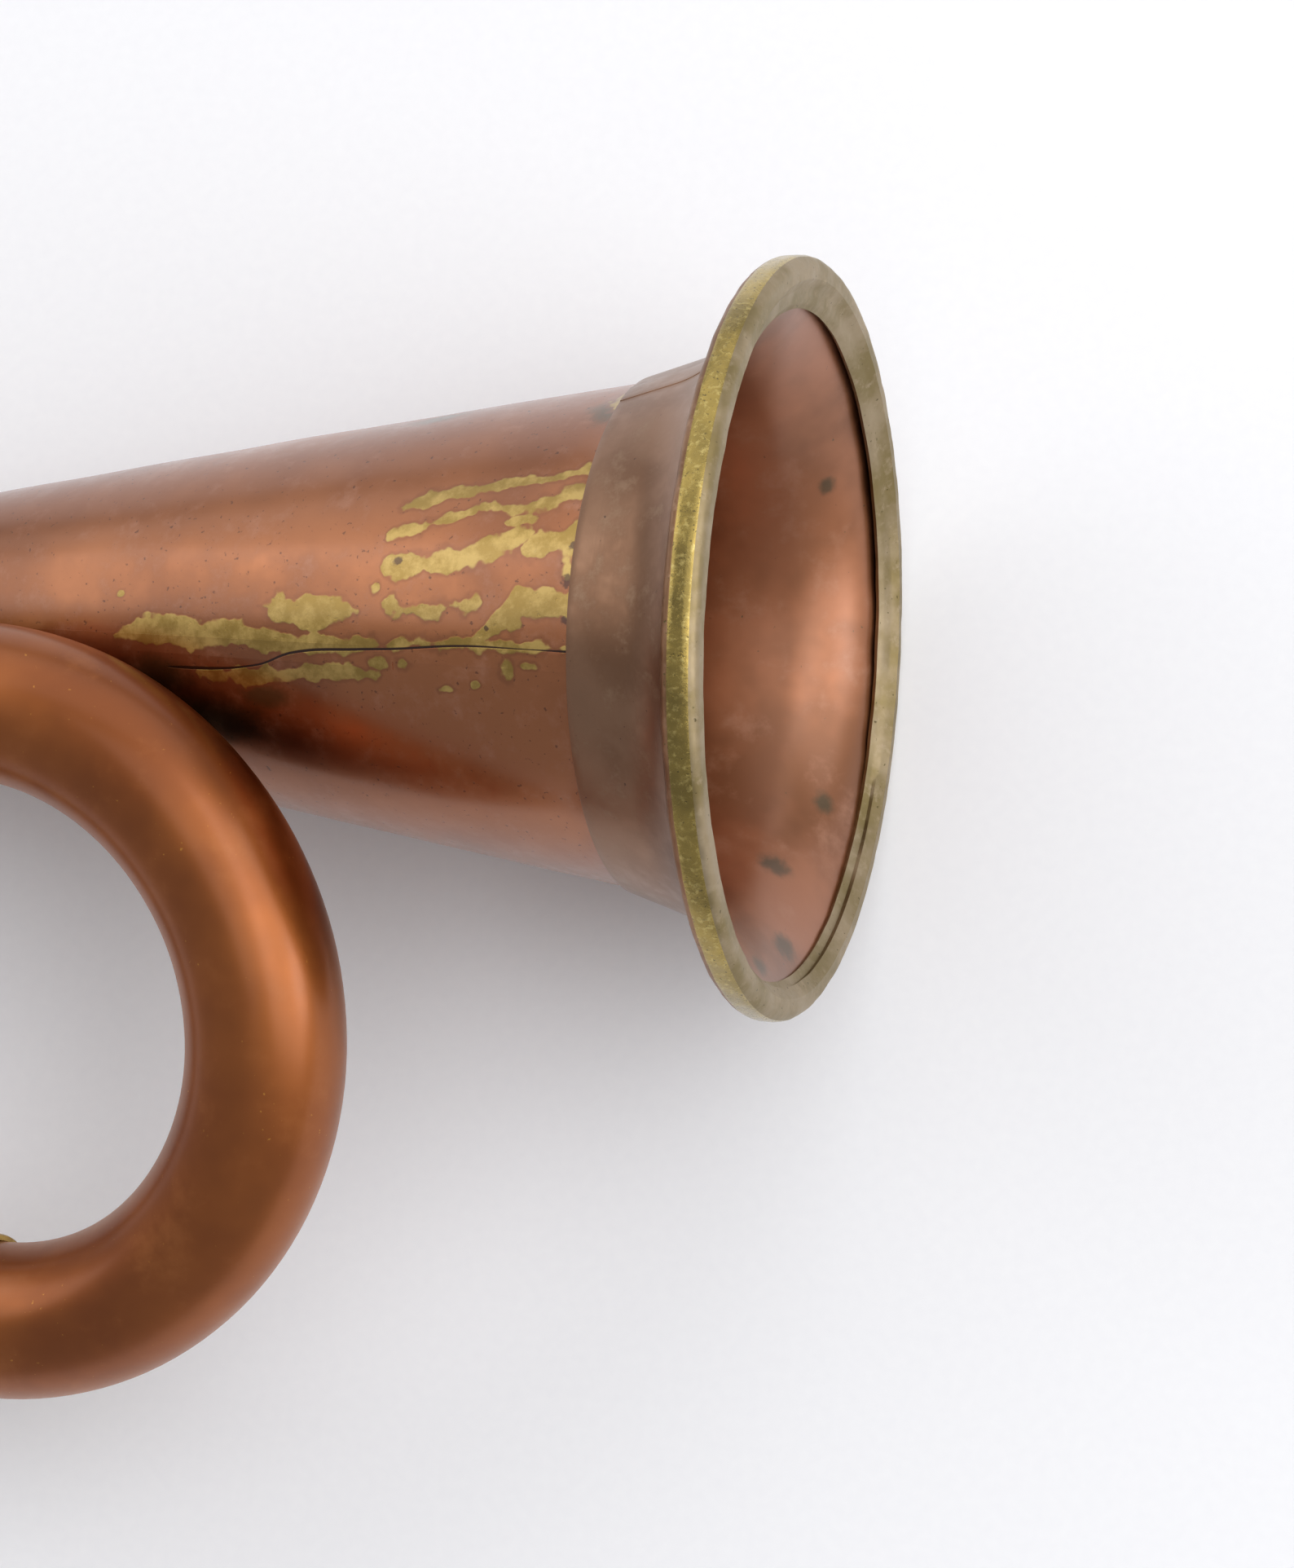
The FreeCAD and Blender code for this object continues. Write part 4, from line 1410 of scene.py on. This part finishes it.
@dataclass
class Coil:
    """The bows and tubes behind the bell, and the sleeves over their joints."""

    bench: Bench
    joint: float = 185.0
    front_joint: float = 125.1
    lower_line: Point = (107.4, 19.2)
    lead_line: Point = (14.4, 33.4)
    rear_radius: float = 12.0
    front_radius: float = 11.6
    wall: float = 0.6
    lead_end: float = 273.0
    lead_end_radius: float = 5.6
    sleeve_half: float = 7.0
    sleeve_sheet: float = 0.8
    sleeve_bead: float = 1.6
    sleeve_cut: float = 1.3
    sleeve_crown: float = 0.1
    groove: float = 0.22
    straight: float = 9.0
    taper_end: float = 10.0

    def tube(self, name: str, stations: Sequence[Point], line: Point) -> bpy.types.Object:
        """Turn a straight tube from its (place, outer radius) stations."""
        outside: list[Point] = []
        for here, after in zip(stations, stations[1:]):
            outside += [here, *run(here, after, 5)]
        outside.append(stations[-1])
        inside = [(x, r - self.wall) for x, r in reversed(stations)]
        piece = self.bench.lathe(name, [*outside, *inside], line, 96)
        self.bench.dent(piece, 0.12, 24)
        return piece

    def sleeve(self, name: str, radius: float, place: float, line: Point) -> bpy.types.Object:
        """Turn a brass sleeve with a bead at each end and two lines cut round its middle."""
        inner = radius + GAP
        outer = inner + self.sleeve_sheet
        start, end = place - self.sleeve_half, place + self.sleeve_half
        bead, cut, groove = self.sleeve_bead, self.sleeve_cut, self.groove
        outline = [
            (start, inner),
            (start, outer),
            *arc((start, outer), (start + bead, outer), 0.9 * bead, 6),
            (start + bead, outer),
            (place - cut - groove, outer),
            (place - cut, outer - groove),
            (place - cut + groove, outer),
            (place, outer + self.sleeve_crown),
            (place + cut - groove, outer),
            (place + cut, outer - groove),
            (place + cut + groove, outer),
            (end - bead, outer),
            *arc((end - bead, outer), (end, outer), 0.9 * bead, 6),
            (end, outer),
            (end, inner),
        ]
        piece = self.bench.lathe(name, outline, line, 96)
        self.bench.soften(piece, 0.08)
        return piece

    def build(self, lie: Matrix) -> None:
        """Model the coil's pieces and dress them."""
        copper = COIL_COPPER.build(lie)
        brass = FITTING_BRASS.build(lie)
        bows = (
            Bow(
                "rear_bow_tube",
                "left_bow",
                self.rear_radius,
                (self.joint, 0, 0),
                self.lower_line,
                1.0,
            ),
            Bow(
                "front_bow_tube",
                "right_bow",
                self.front_radius,
                (self.front_joint, *self.lead_line),
                self.lower_line,
                -1.0,
            ),
        )
        for bow in bows:
            piece = bow.build(self.bench)
            dress(piece, copper)
            self.bench.lay_down(piece, Body.BUGLE, Slot.COIL, [bow.node])
        front = (self.front_joint, self.front_radius)
        front_straight = (self.front_joint + self.straight, self.front_radius)
        tubes = (
            (
                "lower_straight_tube",
                "lower_tube",
                (
                    front,
                    front_straight,
                    (self.joint - self.straight, self.rear_radius),
                    (self.joint, self.rear_radius),
                ),
                self.lower_line,
            ),
            (
                "lead_tapered_tube",
                "leadpipe",
                (
                    front,
                    front_straight,
                    (self.lead_end - self.taper_end, self.lead_end_radius),
                    (self.lead_end, self.lead_end_radius),
                ),
                self.lead_line,
            ),
        )
        for name, node, stations, line in tubes:
            piece = self.tube(name, stations, line)
            dress(piece, copper)
            self.bench.lay_down(piece, Body.BUGLE, Slot.COIL, [node])
        rear = (self.joint, self.rear_radius)
        sleeves = (
            ("bell_sleeve", "bell_ferrule", rear, (0.0, 0.0)),
            ("lower_rear_sleeve", "lower_left_ferrule", rear, self.lower_line),
            ("lower_front_sleeve", "lower_right_ferrule", front, self.lower_line),
            ("lead_sleeve", "leadpipe_ferrule", front, self.lead_line),
        )
        for name, node, (place, radius), line in sleeves:
            piece = self.sleeve(name, radius, place, line)
            dress(piece, brass)
            self.bench.lay_down(piece, Body.BUGLE, Slot.FITTING, [node])


# ------------------------------------------------------------------ mouthpiece end


@dataclass
class MouthEnd:
    """The receiver at the leadpipe's end, its collar, and the mouthpiece in it."""

    bench: Bench
    line: Point = (14.4, 33.4)
    receiver_start: float = 264.0
    receiver_end: float = 294.0
    lead_end: float = 273.0
    receiver_radius: float = 7.2
    bore: float = 5.65
    shank: float = 20.0
    shank_tip: float = 4.3
    shank_mouth: float = 4.8
    length: float = 64.0
    cup_radius: float = 13.2
    cup_bore: float = 8.6
    cup_depth: float = 12.0
    throat: float = 2.1
    stem: float = 5.2
    groove: float = 0.2
    collar_radius: float = 8.0
    collar_length: float = 5.0

    def build_receiver(self) -> bpy.types.Object:
        """Turn the socket for the mouthpiece's shank."""
        start, end = self.receiver_start, self.receiver_end
        outer, groove = self.receiver_radius, self.groove
        outline = [
            (start, self.bore),
            (start, outer - 0.4),
            (start + 0.4, outer),
            (start + 3, outer),
            (start + 3.2, outer - groove),
            (start + 3.4, outer),
            (end - 7, outer),
            (end - 6.8, outer - groove),
            (end - 6.6, outer),
            (end, outer),
            (end, self.shank_mouth + GAP),
            (end - self.shank, self.shank_tip + GAP),
            (self.lead_end, self.shank_tip + GAP),
            (self.lead_end, self.bore),
        ]
        piece = self.bench.lathe("receiver_socket", outline, self.line, 96)
        self.bench.soften(piece, 0.08)
        return piece

    def build_collar(self) -> bpy.types.Object:
        """Turn the ring round the receiver's mouth."""
        inner, outer = self.receiver_radius + GAP, self.collar_radius
        start, end = self.receiver_end - self.collar_length, self.receiver_end
        outline = [
            (start, inner),
            (start, outer),
            *arc((start, outer), (end, outer), 5, 10),
            (end, outer),
            (end, inner),
        ]
        piece = self.bench.lathe("receiver_ring", outline, self.line, 96)
        self.bench.soften(piece, 0.1)
        return piece

    def build_mouthpiece(self) -> bpy.types.Object:
        """Turn the mouthpiece: shank, turned stem, cup and rim."""
        base = self.receiver_end - self.shank
        stem, length = self.stem, self.length
        parts: list[Point] = [
            (0, 3.4),
            (0, self.shank_tip),
            (self.shank, self.shank_mouth),
            *arc((self.shank, self.shank_mouth), (self.shank + 4, stem), -14, 3),
            (self.shank + 4, stem),
            (self.shank + 14, stem + 0.4),
            (self.shank + 15, stem + 1.6),
            (self.shank + 17, stem + 1.6),
            (self.shank + 18, stem + 0.6),
            *arc((self.shank + 18, stem + 0.6), (length - 11, self.cup_radius - 2.6), -12, 14),
            (length - 11, self.cup_radius - 2.6),
            (length - 4.5, self.cup_radius - 1.4),
            (length - 3.5, self.cup_radius),
            (length - 1.6, self.cup_radius),
            *arc((length - 1.6, self.cup_radius), (length, self.cup_radius - 2.2), 1.7, 8),
            (length, self.cup_radius - 2.2),
            (length, self.cup_bore + 1.2),
            *arc((length, self.cup_bore + 1.2), (length - 1.2, self.cup_bore), 1.4, 6),
            (length - 1.2, self.cup_bore),
            *arc((length - 1.2, self.cup_bore), (length - self.cup_depth, self.throat), 11, 14),
            (length - self.cup_depth, self.throat),
            (length - self.cup_depth - 5, self.throat),
        ]
        outline = [(base + x, r) for x, r in parts]
        piece = self.bench.lathe("cup_mouthpiece", outline, self.line, 128)
        self.bench.soften(piece, 0.2)
        return piece

    def build(self, lie: Matrix) -> None:
        """Model the mouth end's pieces and dress them."""
        brass = FITTING_BRASS.build(lie)
        for piece, node in (
            (self.build_receiver(), "mouthpiece_receiver"),
            (self.build_collar(), "receiver_collar"),
        ):
            dress(piece, brass)
            self.bench.lay_down(piece, Body.BUGLE, Slot.FITTING, [node])
        mouthpiece = self.build_mouthpiece()
        dress(mouthpiece, MOUTHPIECE_BRASS.build(lie))
        self.bench.lay_down(mouthpiece, Body.MOUTHPIECE, Slot.MOUTHPIECE, ["mouthpiece"])


# ------------------------------------------------------------------ stays, slings and solder


@dataclass(frozen=True)
class Stay:
    """The turned post between two tubes."""

    name: str
    node: str
    foot: tuple[float, float, float]
    head: tuple[float, float, float]
    first: float
    last: float
    radius: float = 1.8
    pin: float = 1.05

    def build(self, bench: Bench) -> bpy.types.Object:
        """Turn the post as a baluster between its two ends, and stand it in its place."""
        length = self.last - self.first
        middle = length / 2
        half = [
            (0.0, self.radius),
            (0.7, self.radius),
            (1.0, 1.35),
            (1.9, self.pin),
            (middle - 1.9, self.pin),
            (middle - 1.5, 1.4),
            (middle - 1.1, 1.7),
            (middle - 0.4, self.radius),
        ]
        other = [(length - x, r) for x, r in reversed(half)]
        outline = [(0.0, 0.05), *half, *other, (length, 0.05)]
        piece = bench.lathe(self.name, outline, steps=64)
        bench.soften(piece, 0.12)
        foot, head = Vector(self.foot) * MM, Vector(self.head) * MM
        way = (head - foot).normalized()
        bench.hold(piece)
        piece.rotation_mode = "QUATERNION"
        piece.rotation_quaternion = way.to_track_quat("X", "Z")
        piece.location = foot + way * self.first * MM
        bpy.ops.object.transform_apply(location=True, rotation=True, scale=True)
        return piece


@dataclass
class Fittings:
    """The stays, the sling eyes and rings, and the solder between bow and bell."""

    bench: Bench
    lie: Lie
    stays: tuple[Stay, ...] = (
        Stay("bell_stay_baluster", "bell_stay_post", (166, 0, 0), (166, 14.4, 33.4), 14.8, 25.4),
        Stay(
            "bow_stay_baluster",
            "bow_stay_post",
            (229, 14.25, 2.55),
            (229, 14.4, 33.4),
            12.9,
            22.85,
        ),
    )
    lower_line: Point = (107.4, 19.2)
    ring_radius: float = 7.5
    ring_wire: float = 1.0
    eye_reach: float = 16.25
    eye_place: float = 185.0
    solder_half: tuple[float, float, float] = (3.6, 2.9, 0.95)
    solder_lumps: Point = (0.5, 1.6)

    def ring(self, name: str, line: Point, side: int) -> bpy.types.Object:
        """Model a sling ring as it hangs in its eye.

        Args:
            name: the ring's name.
            line: y and z of the tube that carries the eye.
            side: 1 where the eye stands towards +Y, or -1.
        """
        hole = Vector((self.eye_place, line[0] + side * self.eye_reach, line[1]))
        down = self.lie.down()
        normal = Vector((1, 0, 0)).cross(down)
        self.bench.clear()
        bpy.ops.mesh.primitive_torus_add(
            major_radius=self.ring_radius * MM,
            minor_radius=self.ring_wire * MM,
            major_segments=96,
            minor_segments=28,
            location=(hole + down * self.ring_radius) * MM,
            rotation=normal.to_track_quat("Z", "X").to_euler(),
        )
        piece = self.bench.named(name)
        self.bench.dent(piece, 0.08, 3)
        return piece

    def eye(self, name: str, node: bpy.types.Object) -> bpy.types.Object:
        """Make a finer copy of a sling eye, with its edges filed round."""
        self.bench.clear()
        piece = node.copy()
        piece.data = node.data.copy()
        piece.parent = None
        piece.name = piece.data.name = name
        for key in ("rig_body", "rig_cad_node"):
            del piece[key]
        bpy.context.scene.collection.objects.link(piece)
        self.bench.hold(piece)
        bpy.ops.object.mode_set(mode="EDIT")
        bpy.ops.mesh.select_all(action="SELECT")
        bpy.ops.mesh.remove_doubles(threshold=0.002 * MM)
        bpy.ops.mesh.dissolve_limited(angle_limit=math.radians(0.5))
        bpy.ops.object.mode_set(mode="OBJECT")
        self.bench.soften(piece, 0.22, 35)
        piece.matrix_world = self.bench.lie.inverted()
        bpy.ops.object.transform_apply(location=True, rotation=True, scale=True)
        return piece

    def solder(self) -> bpy.types.Object:
        """Model the bead of solder in the crook between the front bow and the bell."""
        low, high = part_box("bow_solder")
        middle = self.bench.lie.inverted() @ ((low + high) / 2)
        outward = Vector((0, middle.y, middle.z)).normalized()
        self.bench.clear()
        bpy.ops.mesh.primitive_uv_sphere_add(
            segments=48,
            ring_count=24,
            radius=MM,
            location=middle,
            rotation=outward.to_track_quat("Z", "X").to_euler(),
        )
        bpy.context.object.scale = self.solder_half
        piece = self.bench.named("solder_bead")
        self.bench.dent(piece, *self.solder_lumps)
        return piece

    def build(self, lie: Matrix, nodes: dict[str, bpy.types.Object]) -> None:
        """Model the fittings and dress them, with the CAD nodes that stay as they are."""
        brass = FITTING_BRASS.build(lie)
        for stay in self.stays:
            piece = stay.build(self.bench)
            dress(piece, brass)
            self.bench.lay_down(piece, Body.BUGLE, Slot.FITTING, [stay.node])
        for stay_name in ("bell_stay", "bow_stay"):
            for end in ("lower", "upper"):
                dress(nodes[f"{stay_name}_{end}_pad"], brass)
        dress(nodes["rim_wire"], RIM_WIRE_IRON.build(lie))
        wire = RING_BRASS.build(lie)
        for name, line, side, body in (
            ("bell_sling_loop", (0.0, 0.0), -1, Body.BELL_RING),
            ("lower_sling_loop", self.lower_line, 1, Body.LOWER_RING),
        ):
            ring = self.ring(name, line, side)
            dress(ring, wire)
            self.bench.lay_down(ring, body, Slot.RING, [body.value])
        for name, node in (
            ("bell_sling_lug", "bell_sling_eye"),
            ("lower_sling_lug", "lower_sling_eye"),
        ):
            eye = self.eye(name, nodes[node])
            dress(eye, brass)
            self.bench.lay_down(eye, Body.BUGLE, Slot.FITTING, [node])
        solder = self.solder()
        dress(solder, SOFT_SOLDER.build(lie))
        self.bench.lay_down(solder, Body.BUGLE, Slot.SOLDER, ["bow_solder"])


# ------------------------------------------------------------------ studio


@dataclass(frozen=True)
class Softbox:
    """A square studio light: where it stands, how wide it is, and its power in watts."""

    name: str
    place: tuple[float, float, float]
    width: float
    power: float
    height: float = 0.0

    def build(self, target: Vector) -> None:
        """Stand the light and aim it."""
        lamp = bpy.data.lights.new(self.name, "AREA")
        lamp.shape = "RECTANGLE"
        lamp.size, lamp.size_y = self.width, self.height or self.width
        lamp.energy = self.power
        stand = bpy.data.objects.new(self.name, lamp)
        bpy.context.scene.collection.objects.link(stand)
        stand.location = self.place
        stand.rotation_euler = (
            (target - Vector(self.place)).to_track_quat("-Z", "Y").to_euler()
        )


@dataclass
class Studio:
    """The table, the lights and the camera."""

    lens: float = 65.49
    camera_place: tuple[float, float, float] = (0.20367, -0.03886, 0.45894)
    camera_turn: tuple[float, float, float] = (8.1766, 7.7821, 5.3996)
    air: float = 0.44
    boxes: tuple[Softbox, ...] = (
        Softbox("wall_softbox", (-0.4, 1.6, 1.1), 3.4, 15.0, 1.7),
        Softbox("left_softbox", (-0.82, 0.26, 0.66), 0.65, 1.7),
        Softbox("right_softbox", (1.3, 0.2, 1.1), 1.8, 15.0, 1.5),
        Softbox("low_softbox", (1.15, 0.0, 0.4), 0.35, 1.2),
        Softbox("top_softbox", (0.4, 0.2, 1.5), 1.4, 6.0),
    )

    def build_table(self) -> None:
        """Lay the pale table and dress it as matt painted board."""
        bpy.ops.mesh.primitive_plane_add(size=6, location=(0, 0, 0))
        table = bpy.context.object
        table.name = "table"
        graph = Graph("matt_white_board", Matrix.Identity(4))
        grain = graph.add(
            Kind.NOISE,
            {
                "Vector": graph.add(Kind.COORDINATES).outputs["Object"],
                "Scale": 1 / (2 * MM),
                "Detail": 3.0,
            },
        )
        tone = graph.add(
            Kind.MIX,
            {"Factor": grain, "A": colour("#f4f4f6"), "B": colour("#efeff2")},
            data_type="RGBA",
        )
        shader = graph.add(Kind.SHADER, {"Base Color": tone, "Roughness": 0.7})
        dress(table, graph.close(shader))
        table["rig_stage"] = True

    def build(self, target: Vector) -> None:
        """Set the studio round a target point."""
        self.build_table()
        world = bpy.data.worlds.new("studio_air")
        bpy.context.scene.world = world
        world.use_nodes = True
        ground = world.node_tree.nodes["Background"]
        ground.inputs["Color"].default_value = colour("#f2f3f6")
        ground.inputs["Strength"].default_value = self.air
        for box in self.boxes:
            box.build(target)
        camera = bpy.data.cameras.new("camera")
        camera.lens = self.lens
        camera.sensor_width = 36
        stand = bpy.data.objects.new("camera", camera)
        bpy.context.scene.collection.objects.link(stand)
        stand.location = self.camera_place
        stand.rotation_euler = Euler([math.radians(a) for a in self.camera_turn])
        bpy.context.scene.camera = stand
        bpy.context.scene.view_settings.view_transform = "Standard"


def main() -> None:
    """Build the bugle piece by piece round the frame, and set the studio."""
    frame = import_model()
    cad_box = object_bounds()
    lie = Lie()
    place = lie.matrix()
    bench = Bench(place)
    Bell(bench).build(place)
    Coil(bench).build(place)
    MouthEnd(bench).build(place)
    Fittings(bench, lie).build(place, frame["nodes"])
    bench.clear()
    Studio().build((cad_box[0] + cad_box[1]) / 2)
    log.info("%d new pieces stand on the table", len(bench.made))


if __name__ == "__main__":
    main()
